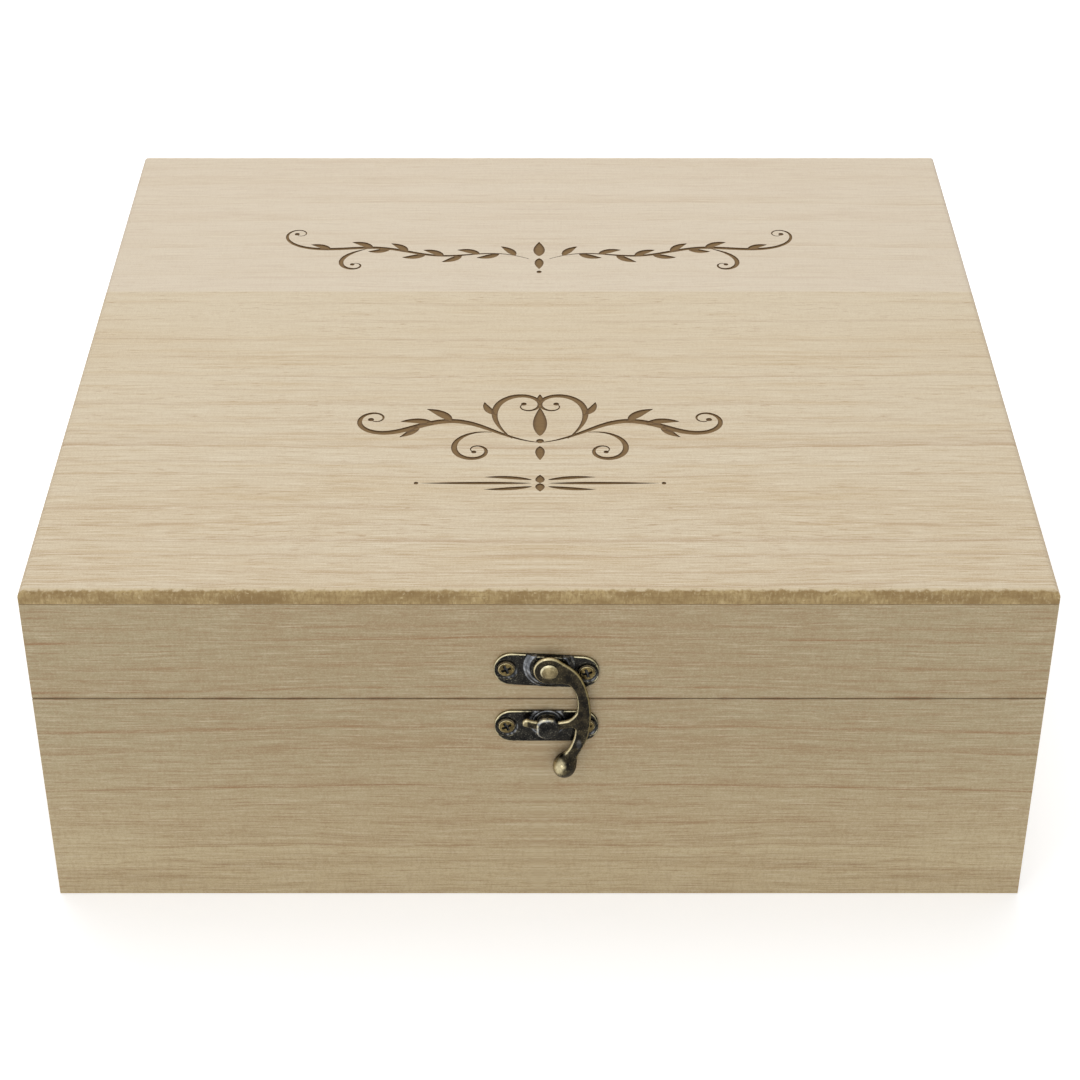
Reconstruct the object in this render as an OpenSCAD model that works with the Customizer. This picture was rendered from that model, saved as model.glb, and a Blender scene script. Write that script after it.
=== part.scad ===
// Hinged wooden keepsake box with a swing-hook clasp.
// Origin: centre of the underside. X runs to the right, Y to the back, Z up. Millimetres.

/* [Box] */
// Width over the side boards
box_w = 280; // [200:1:340]
// Depth over the front and back boards
box_d = 265; // [200:1:340]
// Height from the underside to the lid top
box_h = 108.5; // [90:0.5:140]
// Height of the closed lid, with its top
lid_h = 36; // [33:0.5:44]
// Gap between the lid and the base
seam = 0.4; // [0.3:0.1:0.8]
// Thickness of the frame boards
wall_t = 9; // [8.5:0.5:12]
// Thickness of the lid top
top_t = 4.2; // [3:0.1:6]
// Thickness of the floor panel
floor_t = 4; // [3:0.5:6]
// Board left outside the corner rebates
corner_lap = 4; // [3:0.5:5]
// Board left outside the floor rebate
floor_lap = 4.5; // [3:0.5:5]
// Distance of the glued joint in the lid top from the front
top_joint = 166; // [60:1:180]
// Radius of the rounded arris round the lid top
arris_r = 1.7; // [0.5:0.1:2.5]

/* [Clasp] */
// Distance of the plates from the middle of the front
clasp_x = 2.1; // [-20:0.1:20]
// Distance of the hook's pivot to the right of the plates' middle
pivot_shift = 0.7; // [-1:0.1:1]
// Distance of the catch post to the right of the plates' middle
post_shift = 0.3; // [-1:0.1:1]
// Height of the hook's pivot above the seam
pivot_rise = 11.9; // [10:0.1:14]
// Drop of the upper plate's middle below the pivot
hook_plate_drop = 1.6; // [0:0.1:2]
// Drop of the lower plate's middle below the post
catch_plate_drop = 1.6; // [0:0.1:2]
// Distance from the pivot to the middle of the tongue
hook_r = 19.3; // [17.5:0.1:23.5]
// Width of both plates
plate_w = 28.8; // [27:0.1:36]
// Height of both plates
plate_h = 10.6; // [10:0.1:12.5]
// Thickness of both plates
plate_t = 1; // [0.8:0.1:1.4]
// Corner radius of both plates
plate_r = 4.8; // [2:0.1:4.9]
// Tilt of the upper plate, right end down
plate_tilt = 3.1; // [0:0.1:5]
// Distance between the two screws of a plate
plate_screws = 22.2; // [18:0.1:24]
// Radius of the raised seat under the hook's eye
seat_r = 6.8; // [5:0.1:7.5]
// Height of the raised seat
seat_t = 0.8; // [0.8:0.1:1.4]
// Thickness of the hook
hook_t = 1.6; // [1.4:0.1:2.6]
// Radius of the hook's eye
eye_r = 4.3; // [3.8:0.1:5]
// Reach of the hook's arm to the side of the pivot
arm_reach = 9.7; // [9:0.1:12]
// Width of the tongue
tongue_w = 2.6; // [1.6:0.1:3]
// Angle of the tongue's tip past the post
tongue_tip = 18.5; // [16:0.5:26]
// Radius of the ball at the hook's end
ball_r = 3.2; // [2.6:0.1:3.4]
// Radius of the rivet's shank
rivet_r = 1.5; // [1.2:0.1:2]
// Radius of the rivet's domed head
rivet_head_r = 2.6; // [2.4:0.1:3.2]
// Height of the rivet's domed head
rivet_head_h = 1; // [0.6:0.1:1.6]
// Width of the catch post's knob
knob_w = 6.2; // [5.4:0.1:6.6]
// Height of the catch post's knob
knob_h = 6.8; // [6.4:0.1:7.4]
// Thickness of the knob in front of the slot
knob_cap = 1.2; // [0.8:0.1:2.5]
// Radius of the collar under the knob
collar_r = 4.2; // [4:0.1:5]
// Thickness of the collar under the knob
collar_t = 0.5; // [0.3:0.1:0.5]
// Radius of the post's foot, riveted through its plate
foot_r = 2; // [1.5:0.1:3]

/* [Hinges] */
// Distance of each hinge from the middle of the back
hinge_x = 75; // [40:1:80]
// Width of a hinge
leaf_w = 28; // [24:1:36]
// Height of a leaf
leaf_h = 15; // [14.5:0.5:18]
// Thickness of a leaf
leaf_t = 1; // [0.8:0.1:1.4]
// Corner radius of a leaf
leaf_r = 2.5; // [0.5:0.1:4]
// Outer radius of the barrel
barrel_r = 1.9; // [1.7:0.1:2.4]
// Gap between the barrel and the wood
barrel_gap = 0.2; // [0.1:0.05:0.4]
// Radius of the hinge pin
pin_r = 0.9; // [0.7:0.1:1.1]
// Length of pin that shows at each end of the barrel
pin_end = 0.5; // [0.2:0.1:1.5]
// Number of knuckles, shared by the two leaves
knuckles = 5; // [3:2:7]
// Angle at which the stops halt the lid
open_angle = 105; // [90:1:115]
// Width of the stop shoulders
stop_w = 10; // [6:1:16]
// Reach of the stop shoulders from the pin
stop_r = 3.9; // [3.2:0.1:4.5]
// Distance between the two screws of a leaf
leaf_screws = 18; // [14:0.5:20]
// Height of the screws above the leaf's knuckle edge
leaf_screw_rise = 9.8; // [9:0.1:11]

/* [Screws and fits] */
// Radius of the screw shanks
screw_r = 0.9; // [0.7:0.1:1.1]
// Radius of the screw heads
head_r = 2.2; // [1.8:0.1:2.4]
// Height of a head above its plate
head_h = 0.4; // [0.2:0.1:0.6]
// Depth of a screw in the wood
screw_depth = 7; // [4:0.5:8]
// Width of the cross recess in a head
recess_w = 0.6; // [0.4:0.1:0.8]
// Radial clearance of a turning pin
running_fit = 0.05; // [0.02:0.01:0.1]
// Radial clearance of a screw or rivet in its hole
hole_fit = 0.05; // [0.02:0.01:0.1]
// Clearance round parts that pass each other
play = 0.3; // [0.25:0.05:0.4]

/* [Hidden] */
$fn = 64;

WOOD = "#cdbb98";
BRONZE = "#5b4e34";
BRASS = "#9a7d3c";
LEFT = -1;
RIGHT = 1;
BASE = -1;
LID = 1;

// Past each face that a cut opens
over = 1;

base_h = box_h - lid_h - seam;
lid_z = base_h + seam;
seam_z = base_h + seam / 2;
frame_h = lid_h - top_t;

// Levels of the clasp, measured out from the wood
seat_z = plate_t + seat_t;
hook_z = seat_z + running_fit * 2;
rivet_head_z = hook_z + hook_t + running_fit * 2;
slot_floor_z = hook_z - play;
slot_top_z = hook_z + hook_t + play;
knob_z = slot_top_z + knob_cap;
knob_r = 1.6;
pivot_x = clasp_x + pivot_shift;
post_x = clasp_x + post_shift;
pivot_z = seam_z + pivot_rise;
post_z = pivot_z - hook_r;
hook_plate_z = pivot_z - hook_plate_drop;
catch_plate_z = post_z - catch_plate_drop;

// The arm of the hook: share of the reach, share of the pivot distance, width
arm = [
    [0.00, 0.00, 8.5], [0.49, -0.09, 5.7], [0.74, -0.20, 4.1], [0.91, -0.39, 3.4],
    [0.98, -0.60, 3.6], [0.98, -0.82, 4.2], [0.96, -1.03, 4.1], [0.89, -1.24, 3.7],
    [0.73, -1.45, 3.4], [0.52, -1.62, 4.2]
];
arm_steps = 6;
ball_at = [0.44 * arm_reach, -1.71 * hook_r];
ball_z = ball_r + 0.5;
// Rounded corners where the tongue leaves the arm
inner_fillet = 5.4;
tail_fillet = 1.2;
arm_inner_x = arm_reach - 1.85;
tail_inner_x = 0.96 * arm_reach - 2.05;

pin_z = barrel_r + barrel_gap;
knuckle_gap = play;
knuckle_l = (leaf_w - (knuckles - 1) * knuckle_gap) / knuckles;
knuckle_pitch = knuckle_l + knuckle_gap;
// The two stop faces meet half a degree past the open angle
stop_angle = open_angle / 2 + 0.25;
stop_foot = stop_r + 0.7;

head_cone = 0.8;
recess_l = head_r * 1.2;
recess_depth = 0.8;

// Frame boards
module side_blank(side, z, h)
    translate([side * (box_w - wall_t) / 2 - wall_t / 2, corner_lap - box_d / 2, z])
        cube([wall_t, box_d - 2 * corner_lap, h]);

module end_blank(end, z, h)
    difference() {
        translate([-box_w / 2, end * (box_d - wall_t) / 2 - wall_t / 2, z])
            cube([box_w, wall_t, h]);
        for (side = [LEFT, RIGHT])
            side_blank(side, z - over, h + 2 * over);
    }

module floor_blank(below = 0)
    translate([floor_lap - box_w / 2, floor_lap - box_d / 2, -below])
        cube([box_w - 2 * floor_lap, box_d - 2 * floor_lap, floor_t + below]);

// Local Z points out of the front and local Y up
module on_front(x, z)
    translate([x, -box_d / 2, z])
        rotate([90, 0, 0])
            children();

// The same on the back, at the seam, on a hinge's centre line
module on_back(side)
    translate([side * hinge_x, box_d / 2, seam_z])
        rotate([90, 0, 180])
            children();

module pair(spacing)
    for (side = [LEFT, RIGHT])
        translate([side * spacing / 2, 0, 0])
            children();

// Wood screw whose countersunk head seats in a plate of thickness t
module screw(t)
    difference() {
        union() {
            translate([0, 0, -screw_depth])
                cylinder(h = screw_depth + t - head_cone, r = screw_r);
            translate([0, 0, t - head_cone])
                cylinder(h = head_cone, r1 = screw_r, r2 = head_r);
            translate([0, 0, t])
                cylinder(h = head_h, r1 = head_r, r2 = head_r * 0.75);
        }
        for (turn = [0, 90])
            rotate(turn + 20)
                translate([-recess_l / 2, -recess_w / 2, t + head_h - recess_depth])
                    cube([recess_l, recess_w, recess_depth + over]);
    }

module plate_hole(t)
    union() {
        translate([0, 0, -over])
            cylinder(h = t + 2 * over, r = screw_r + hole_fit);
        translate([0, 0, t - head_cone])
            cylinder(h = head_cone, r1 = screw_r + hole_fit, r2 = head_r + hole_fit);
        translate([0, 0, t])
            cylinder(h = over, r = head_r + hole_fit);
    }

module pilot_hole()
    translate([0, 0, -screw_depth - hole_fit])
        cylinder(h = screw_depth + hole_fit + over, r = screw_r + hole_fit);

module rounded_rect(w, h, r)
    union() {
        square([w - 2 * r, h], center = true);
        square([w, h - 2 * r], center = true);
        for (x = [-1, 1], y = [-1, 1])
            translate([x * (w / 2 - r), y * (h / 2 - r)])
                circle(r);
    }

// Base
module base_front_board()
    color(WOOD)
        difference() {
            end_blank(-1, 0, base_h);
            floor_blank(over);
            on_front(clasp_x, catch_plate_z)
                pair(plate_screws)
                    pilot_hole();
        }

module base_back_board()
    color(WOOD)
        difference() {
            end_blank(1, 0, base_h);
            floor_blank(over);
            for (side = [LEFT, RIGHT])
                on_back(side)
                    leaf_screw_places(BASE)
                        pilot_hole();
        }

module base_side_board(side)
    color(WOOD)
        difference() {
            side_blank(side, 0, base_h);
            floor_blank(over);
        }

module base_left_board() base_side_board(LEFT);
module base_right_board() base_side_board(RIGHT);

module base_bottom_panel()
    color(WOOD)
        floor_blank();

// Lid
module lid_front_board()
    color(WOOD)
        difference() {
            end_blank(-1, lid_z, frame_h);
            on_front(clasp_x, hook_plate_z)
                rotate(-plate_tilt)
                    pair(plate_screws)
                        pilot_hole();
        }

module lid_back_board()
    color(WOOD)
        difference() {
            end_blank(1, lid_z, frame_h);
            for (side = [LEFT, RIGHT])
                on_back(side)
                    leaf_screw_places(LID)
                        pilot_hole();
        }

module lid_left_board() color(WOOD) side_blank(LEFT, lid_z, frame_h);
module lid_right_board() color(WOOD) side_blank(RIGHT, lid_z, frame_h);

// Cross-section of the lid top, with both upper corners rounded
module top_section(w)
    union() {
        translate([-w / 2, 0])
            square([w, top_t - arris_r]);
        translate([arris_r - w / 2, 0])
            square([w - 2 * arris_r, top_t]);
        for (side = [-1, 1])
            translate([side * (w / 2 - arris_r), top_t - arris_r])
                circle(arris_r);
    }

module lid_top_board(from, to)
    color(WOOD)
        intersection() {
            translate([0, 0, lid_z + frame_h])
                rotate([90, 0, 0])
                    linear_extrude(box_d, center = true)
                        top_section(box_w);
            translate([0, 0, lid_z + frame_h])
                rotate([90, 0, 90])
                    linear_extrude(box_w, center = true)
                        top_section(box_d);
            translate([-box_w, from, 0])
                cube([2 * box_w, to - from, 2 * box_h]);
        }

module lid_top_front_board() lid_top_board(-box_d, top_joint - box_d / 2);
module lid_top_back_board() lid_top_board(top_joint - box_d / 2, box_d);

// Clasp
module clasp_plate_blank(t)
    linear_extrude(t)
        rounded_rect(plate_w, plate_h, plate_r);

// A raised round seat, centred on the pivot and trimmed to the plate's outline
module clasp_hook_plate()
    color(BRONZE)
        difference() {
            union() {
                on_front(clasp_x, hook_plate_z)
                    rotate(-plate_tilt)
                        clasp_plate_blank(plate_t);
                intersection() {
                    on_front(clasp_x, hook_plate_z)
                        rotate(-plate_tilt)
                            clasp_plate_blank(seat_z);
                    on_front(pivot_x, pivot_z)
                        cylinder(h = seat_z, r = seat_r);
                }
            }
            on_front(clasp_x, hook_plate_z)
                rotate(-plate_tilt)
                    pair(plate_screws)
                        plate_hole(plate_t);
            on_front(pivot_x, pivot_z)
                translate([0, 0, -over])
                    cylinder(h = seat_z + 2 * over, r = rivet_r + hole_fit);
        }

module clasp_hook_plate_screws()
    color(BRASS)
        on_front(clasp_x, hook_plate_z)
            rotate(-plate_tilt)
                pair(plate_screws)
                    screw(plate_t);

module clasp_pivot_rivet()
    color(BRONZE)
        on_front(pivot_x, pivot_z)
            union() {
                cylinder(h = rivet_head_z, r = rivet_r);
                domed_head(rivet_head_z, rivet_head_r, rivet_head_h);
            }

// Slice of a sphere, flat side at height z
module domed_head(z, r, h) {
    sphere_r = (r * r + h * h) / (2 * h);
    intersection() {
        translate([0, 0, z + h - sphere_r])
            sphere(sphere_r);
        translate([0, 0, z])
            cylinder(h = h, r = r + over);
    }
}

// Smooth curve through the arm's stations
function between(a, b, c, d, t) =
    0.5 * (2 * b + (c - a) * t + (2 * a - 5 * b + 4 * c - d) * t * t
        + (3 * b - a - 3 * c + d) * t * t * t);
function arm_station(i) =
    let (s = arm[max(0, min(len(arm) - 1, i))])
        [s[0] * arm_reach, s[1] * hook_r, s[2]];
function arm_at(u) =
    let (i = min(floor(u), len(arm) - 2))
        between(arm_station(i - 1), arm_station(i), arm_station(i + 1), arm_station(i + 2), u - i);
function arm_edge(u, side) =
    let (
        here = arm_at(u),
        ahead = arm_at(u + 0.01),
        run = [ahead[0] - here[0], ahead[1] - here[1]],
        across = [-run[1], run[0]] / norm(run)
    )
        [here[0], here[1]] + side * here[2] / 2 * across;

module arm_outline() {
    last = (len(arm) - 1) * arm_steps;
    polygon(concat(
        [for (i = [0:last]) arm_edge(i / arm_steps, 1)],
        [for (i = [last:-1:0]) arm_edge(i / arm_steps, -1)]
    ));
}

// Ring sector round the pivot, from straight down to both sides
module tongue_outline() {
    far = 2 * hook_r;
    intersection() {
        difference() {
            circle(hook_r + tongue_w / 2, $fn = 180);
            circle(hook_r - tongue_w / 2, $fn = 180);
        }
        polygon([
            [0, 0], far * [-sin(tongue_tip), -cos(tongue_tip)], [0, -far],
            [tail_inner_x + 1, -far], [tail_inner_x + 1, 0]
        ]);
    }
    translate(hook_r * [-sin(tongue_tip), -cos(tongue_tip)])
        circle(tongue_w / 2);
}

// Filled corner with a hollow quarter circle about its centre
module corner_fill(centre, r, up)
    difference() {
        translate([centre[0], up > 0 ? centre[1] : centre[1] - r - tongue_w / 2])
            square([r + tongue_w / 2, r + tongue_w / 2]);
        translate(centre)
            circle(r);
    }

module clasp_hook()
    color(BRONZE)
        on_front(pivot_x, pivot_z)
            difference() {
                union() {
                    translate([0, 0, hook_z])
                        cylinder(h = hook_t, r = eye_r);
                    translate([0, 0, hook_z])
                        linear_extrude(hook_t) {
                            arm_outline();
                            tongue_outline();
                            corner_fill(
                                [arm_inner_x - inner_fillet, inner_fillet + tongue_w / 2 - hook_r],
                                inner_fillet, -1
                            );
                            corner_fill(
                                [
                                    tail_inner_x - tail_fillet,
                                    -tail_fillet - sqrt(pow(hook_r + tongue_w / 2, 2)
                                        - pow(tail_inner_x - tail_fillet, 2))
                                ],
                                tail_fillet, 1
                            );
                        }
                    translate([ball_at[0], ball_at[1], ball_z])
                        sphere(ball_r);
                }
                translate([0, 0, hook_z - over])
                    cylinder(h = hook_t + 2 * over, r = rivet_r + running_fit);
            }

module clasp_catch_plate()
    color(BRONZE)
        on_front(clasp_x, catch_plate_z)
            difference() {
                clasp_plate_blank(plate_t);
                pair(plate_screws)
                    plate_hole(plate_t);
                translate([post_shift, catch_plate_drop, -over])
                    cylinder(h = plate_t + 2 * over, r = foot_r + hole_fit);
            }

module clasp_catch_plate_screws()
    color(BRASS)
        on_front(clasp_x, catch_plate_z)
            pair(plate_screws)
                screw(plate_t);

module clasp_catch_post()
    color(BRONZE)
        on_front(post_x, post_z)
            difference() {
                union() {
                    cylinder(h = plate_t, r = foot_r);
                    translate([0, 0, plate_t])
                        cylinder(h = collar_t, r = collar_r);
                    translate([0, 0, plate_t + collar_t])
                        linear_extrude(knob_z - plate_t - collar_t)
                            rounded_rect(knob_w, knob_h, knob_r);
                }
                translate([pivot_x - post_x, hook_r, slot_floor_z])
                    linear_extrude(slot_top_z - slot_floor_z)
                        difference() {
                            circle(hook_r + tongue_w / 2 + play, $fn = 180);
                            circle(hook_r - tongue_w / 2 - play, $fn = 180);
                        }
            }

// Hinges
module leaf_screw_places(leaf)
    translate([0, leaf * leaf_screw_rise, 0])
        pair(leaf_screws)
            children();

module knuckle(i, r, longer = 0)
    translate([i * knuckle_pitch - leaf_w / 2 - longer, 0, pin_z])
        rotate([0, 90, 0])
            cylinder(h = knuckle_l + 2 * longer, r = r);

// The base leaf has the even knuckles, the lid leaf the odd ones
module knuckle_set(leaf, r, longer = 0)
    for (i = [leaf == BASE ? 0 : 1 : 2 : knuckles - 1])
        knuckle(i, r, longer);

// Wedge beside the barrel, whose radial face meets the other leaf's
module stop_shoulder()
    translate([stop_w / 2, 0, 0])
        rotate([0, -90, 0])
            linear_extrude(stop_w)
                polygon([
                    [leaf_t / 2, barrel_r * sin(stop_angle)],
                    [pin_z + barrel_r * cos(stop_angle), barrel_r * sin(stop_angle)],
                    [pin_z + stop_r * cos(stop_angle), stop_r * sin(stop_angle)],
                    [leaf_t / 2, stop_foot]
                ]);

module hinge_leaf(side, leaf)
    color(BRONZE)
        on_back(side)
            difference() {
                union() {
                    difference() {
                        mirror([0, leaf == BASE ? 1 : 0, 0])
                            union() {
                                translate([0, (leaf_h - leaf_r) / 2, leaf_t / 2])
                                    cube([leaf_w, leaf_h - leaf_r, leaf_t], center = true);
                                translate([0, leaf_h / 2, 0])
                                    linear_extrude(leaf_t)
                                        rounded_rect(leaf_w, leaf_h, leaf_r);
                                stop_shoulder();
                            }
                        knuckle_set(-leaf, barrel_r + play, knuckle_gap);
                    }
                    knuckle_set(leaf, barrel_r);
                }
                translate([-leaf_w / 2 - over, 0, pin_z])
                    rotate([0, 90, 0])
                        cylinder(h = leaf_w + 2 * over, r = pin_r + running_fit);
                leaf_screw_places(leaf)
                    plate_hole(leaf_t);
            }

module hinge_pin(side)
    color(BRASS)
        on_back(side)
            translate([-leaf_w / 2 - pin_end, 0, pin_z])
                rotate([0, 90, 0])
                    cylinder(h = leaf_w + 2 * pin_end, r = pin_r);

module hinge_screws(side, leaf)
    color(BRASS)
        on_back(side)
            leaf_screw_places(leaf)
                screw(leaf_t);

module hinge_left_base_leaf() hinge_leaf(LEFT, BASE);
module hinge_left_lid_leaf() hinge_leaf(LEFT, LID);
module hinge_left_pin() hinge_pin(LEFT);
module hinge_left_base_screws() hinge_screws(LEFT, BASE);
module hinge_left_lid_screws() hinge_screws(LEFT, LID);
module hinge_right_base_leaf() hinge_leaf(RIGHT, BASE);
module hinge_right_lid_leaf() hinge_leaf(RIGHT, LID);
module hinge_right_pin() hinge_pin(RIGHT);
module hinge_right_base_screws() hinge_screws(RIGHT, BASE);
module hinge_right_lid_screws() hinge_screws(RIGHT, LID);

base_front_board();
base_back_board();
base_left_board();
base_right_board();
base_bottom_panel();
lid_front_board();
lid_back_board();
lid_left_board();
lid_right_board();
lid_top_front_board();
lid_top_back_board();
clasp_hook_plate();
clasp_hook_plate_screws();
clasp_pivot_rivet();
clasp_hook();
clasp_catch_plate();
clasp_catch_plate_screws();
clasp_catch_post();
hinge_left_base_leaf();
hinge_left_lid_leaf();
hinge_left_pin();
hinge_left_base_screws();
hinge_left_lid_screws();
hinge_right_base_leaf();
hinge_right_lid_leaf();
hinge_right_pin();
hinge_right_base_screws();
hinge_right_lid_screws();
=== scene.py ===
"""Looks of a hinged wooden keepsake box with a swing-hook clasp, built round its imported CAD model."""

import logging
import math
from collections.abc import Mapping, Sequence
from dataclasses import dataclass
from enum import Enum, IntEnum
from typing import Any, ClassVar

import bpy
import numpy as np
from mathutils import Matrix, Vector
from mathutils.geometry import delaunay_2d_cdt


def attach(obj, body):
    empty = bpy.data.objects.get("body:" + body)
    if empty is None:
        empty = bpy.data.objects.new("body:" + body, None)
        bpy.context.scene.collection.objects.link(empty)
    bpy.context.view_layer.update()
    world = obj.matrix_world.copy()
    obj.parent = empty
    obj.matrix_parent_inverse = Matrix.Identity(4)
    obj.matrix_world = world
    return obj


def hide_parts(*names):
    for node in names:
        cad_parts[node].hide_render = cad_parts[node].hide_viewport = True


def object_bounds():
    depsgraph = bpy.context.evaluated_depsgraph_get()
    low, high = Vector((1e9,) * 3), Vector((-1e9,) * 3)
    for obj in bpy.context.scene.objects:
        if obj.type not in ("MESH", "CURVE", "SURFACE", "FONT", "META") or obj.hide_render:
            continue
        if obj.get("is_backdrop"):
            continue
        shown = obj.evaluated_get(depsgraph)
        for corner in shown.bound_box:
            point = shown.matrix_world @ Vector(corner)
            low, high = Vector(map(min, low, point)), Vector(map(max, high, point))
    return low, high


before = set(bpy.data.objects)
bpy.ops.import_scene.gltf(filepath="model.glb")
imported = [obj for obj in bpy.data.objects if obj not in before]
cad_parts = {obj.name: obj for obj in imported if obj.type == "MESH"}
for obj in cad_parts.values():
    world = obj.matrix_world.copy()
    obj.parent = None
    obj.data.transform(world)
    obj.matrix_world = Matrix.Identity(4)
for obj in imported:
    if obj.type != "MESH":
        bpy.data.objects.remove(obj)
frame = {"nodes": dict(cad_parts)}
cad_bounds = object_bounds()

LOG = logging.getLogger("keepsake_box")
MM = 0.001

Colour = tuple[float, float, float]
Socket = bpy.types.NodeSocket
Wired = Socket | float | Sequence[float]
Points = np.ndarray
Corner = tuple[float, float, float]


class Body(Enum):
    """The moving bodies of the box."""

    BASE = "base"
    LID = "lid"
    HOOK = "hook"


class Slot(Enum):
    """The finishes that the record names."""

    PALE_WOOD = "pale_wood"
    LID_WOOD = "lid_wood"
    FLOOR_WOOD = "floor_wood"
    ANTIQUE_BRONZE = "antique_bronze"
    WORN_BRONZE = "worn_bronze"
    SCREW_BRASS = "screw_brass"


class Zone(IntEnum):
    """The zones of a carved board, in the order of its finishes."""

    FACE = 0
    EDGE = 1
    ENGRAVED = 2


class Grain(Enum):
    """The axes along, across and through a board."""

    FLAT = ("X", "Y", "Z")
    UPRIGHT = ("X", "Z", "Y")
    SIDEWAYS = ("Y", "Z", "X")


# Shader wiring


@dataclass
class Wiring:
    """Adds and joins the nodes of one material or group."""

    tree: bpy.types.NodeTree

    def put(self, socket: Socket, value: Wired) -> None:
        """Feed a socket from another one, or set its own value.

        Args:
            socket: the input to feed.
            value: an output socket, a number, a vector or a colour.
        """
        if isinstance(value, bpy.types.NodeSocket):
            self.tree.links.new(value, socket)
        elif socket.type == "RGBA" and len(value) == 3:
            socket.default_value = (*value, 1.0)
        else:
            socket.default_value = value

    def add(
        self, kind: str, feeds: Mapping[int | str, Wired] | None = None, **settings: Any
    ) -> bpy.types.Node:
        """Add a node.

        Args:
            kind: the node's type, without the ShaderNode in front.
            feeds: its inputs by name or number.
            settings: its properties.

        Returns:
            The new node.
        """
        node = self.tree.nodes.new("ShaderNode" + kind)
        for name, value in settings.items():
            setattr(node, name, value)
        for key, value in (feeds or {}).items():
            self.put(node.inputs[key], value)
        return node

    def math(self, operation: str, *values: Wired) -> Socket:
        """Return one Math node's result."""
        return self.add("Math", dict(enumerate(values)), operation=operation).outputs[0]

    def vector(self, x: Wired, y: Wired, z: Wired) -> Socket:
        """Return a vector made of three numbers."""
        return self.add("CombineXYZ", {0: x, 1: y, 2: z}).outputs[0]

    def spread(
        self, value: Wired, low: float, high: float, to_low: float = 0.0, to_high: float = 1.0
    ) -> Socket:
        """Map a value smoothly from one range to another, and hold it there.

        Args:
            value: the value to map.
            low: where the first range starts.
            high: where the first range ends.
            to_low: the result at low.
            to_high: the result at high.

        Returns:
            The mapped value.
        """
        node = self.add(
            "MapRange",
            {"Value": value, "From Min": low, "From Max": high, "To Min": to_low, "To Max": to_high},
            interpolation_type="SMOOTHSTEP",
        )
        return node.outputs["Result"]

    def noise(
        self, x: Wired, y: Wired, z: Wired, detail: float = 2.0, roughness: float = 0.5
    ) -> Socket:
        """Return noise, about 0 to 1, at a point given in the noise's own cells.

        Args:
            x: the point's first coordinate.
            y: its second coordinate.
            z: its third coordinate.
            detail: the number of finer layers.
            roughness: how strong the finer layers are.

        Returns:
            The noise value.
        """
        node = self.add(
            "TexNoise",
            {"Vector": self.vector(x, y, z), "Scale": 1.0, "Detail": detail, "Roughness": roughness},
        )
        return node.outputs[0]

    def times(self, value: Wired, factor: Wired) -> Socket:
        """Return a product."""
        return self.math("MULTIPLY", value, factor)

    def plus(self, value: Wired, other: Wired) -> Socket:
        """Return a sum."""
        return self.math("ADD", value, other)

    def tint(self, share: Wired, start: Wired, end: Wired) -> Socket:
        """Mix two colours.

        Args:
            share: how much of the second colour shows.
            start: the first colour.
            end: the second colour.

        Returns:
            The mixed colour.
        """
        # A Mix node's colours are its inputs 6 and 7 and its output 2.
        return self.add("Mix", {0: share, 6: start, 7: end}, data_type="RGBA").outputs[2]

    def ramp(self, value: Wired, stops: Sequence[tuple[float, float]]) -> Socket:
        """Read a grey value off a ramp.

        Args:
            value: where on the ramp, 0 to 1.
            stops: the place and the value of each stop, in order.

        Returns:
            The value on the ramp.
        """
        node = self.add("ValToRGB", {"Fac": value})
        elements = node.color_ramp.elements
        for _ in range(len(stops) - 2):
            elements.new(0.5)
        for element, (place, shade) in zip(elements, stops):
            element.position = place
        for element, (place, shade) in zip(elements, stops):
            element.color = (shade, shade, shade, 1.0)
        return self.add("RGBToBW", {0: node.outputs[0]}).outputs[0]

    def bump(self, height: Wired, reach: float, strength: float) -> Socket:
        """Turn a height of 0 to 1 into a surface normal.

        Args:
            height: the height.
            reach: the height that 1 stands for, in metres.
            strength: how much of the effect shows.

        Returns:
            The normal.
        """
        node = self.add("Bump", {"Height": height, "Distance": reach, "Strength": strength})
        return node.outputs[0]

    def shows_backdrop(self) -> Socket:
        """Find the rays that show the backdrop without lighting the box with it.

        Returns:
            1 for camera, glossy and transmission rays, and 0 for the others.
        """
        rays = self.add("LightPath").outputs
        seen = self.math("MAXIMUM", rays["Is Camera Ray"], rays["Is Glossy Ray"])
        return self.math("MAXIMUM", seen, rays["Is Transmission Ray"])


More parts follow.
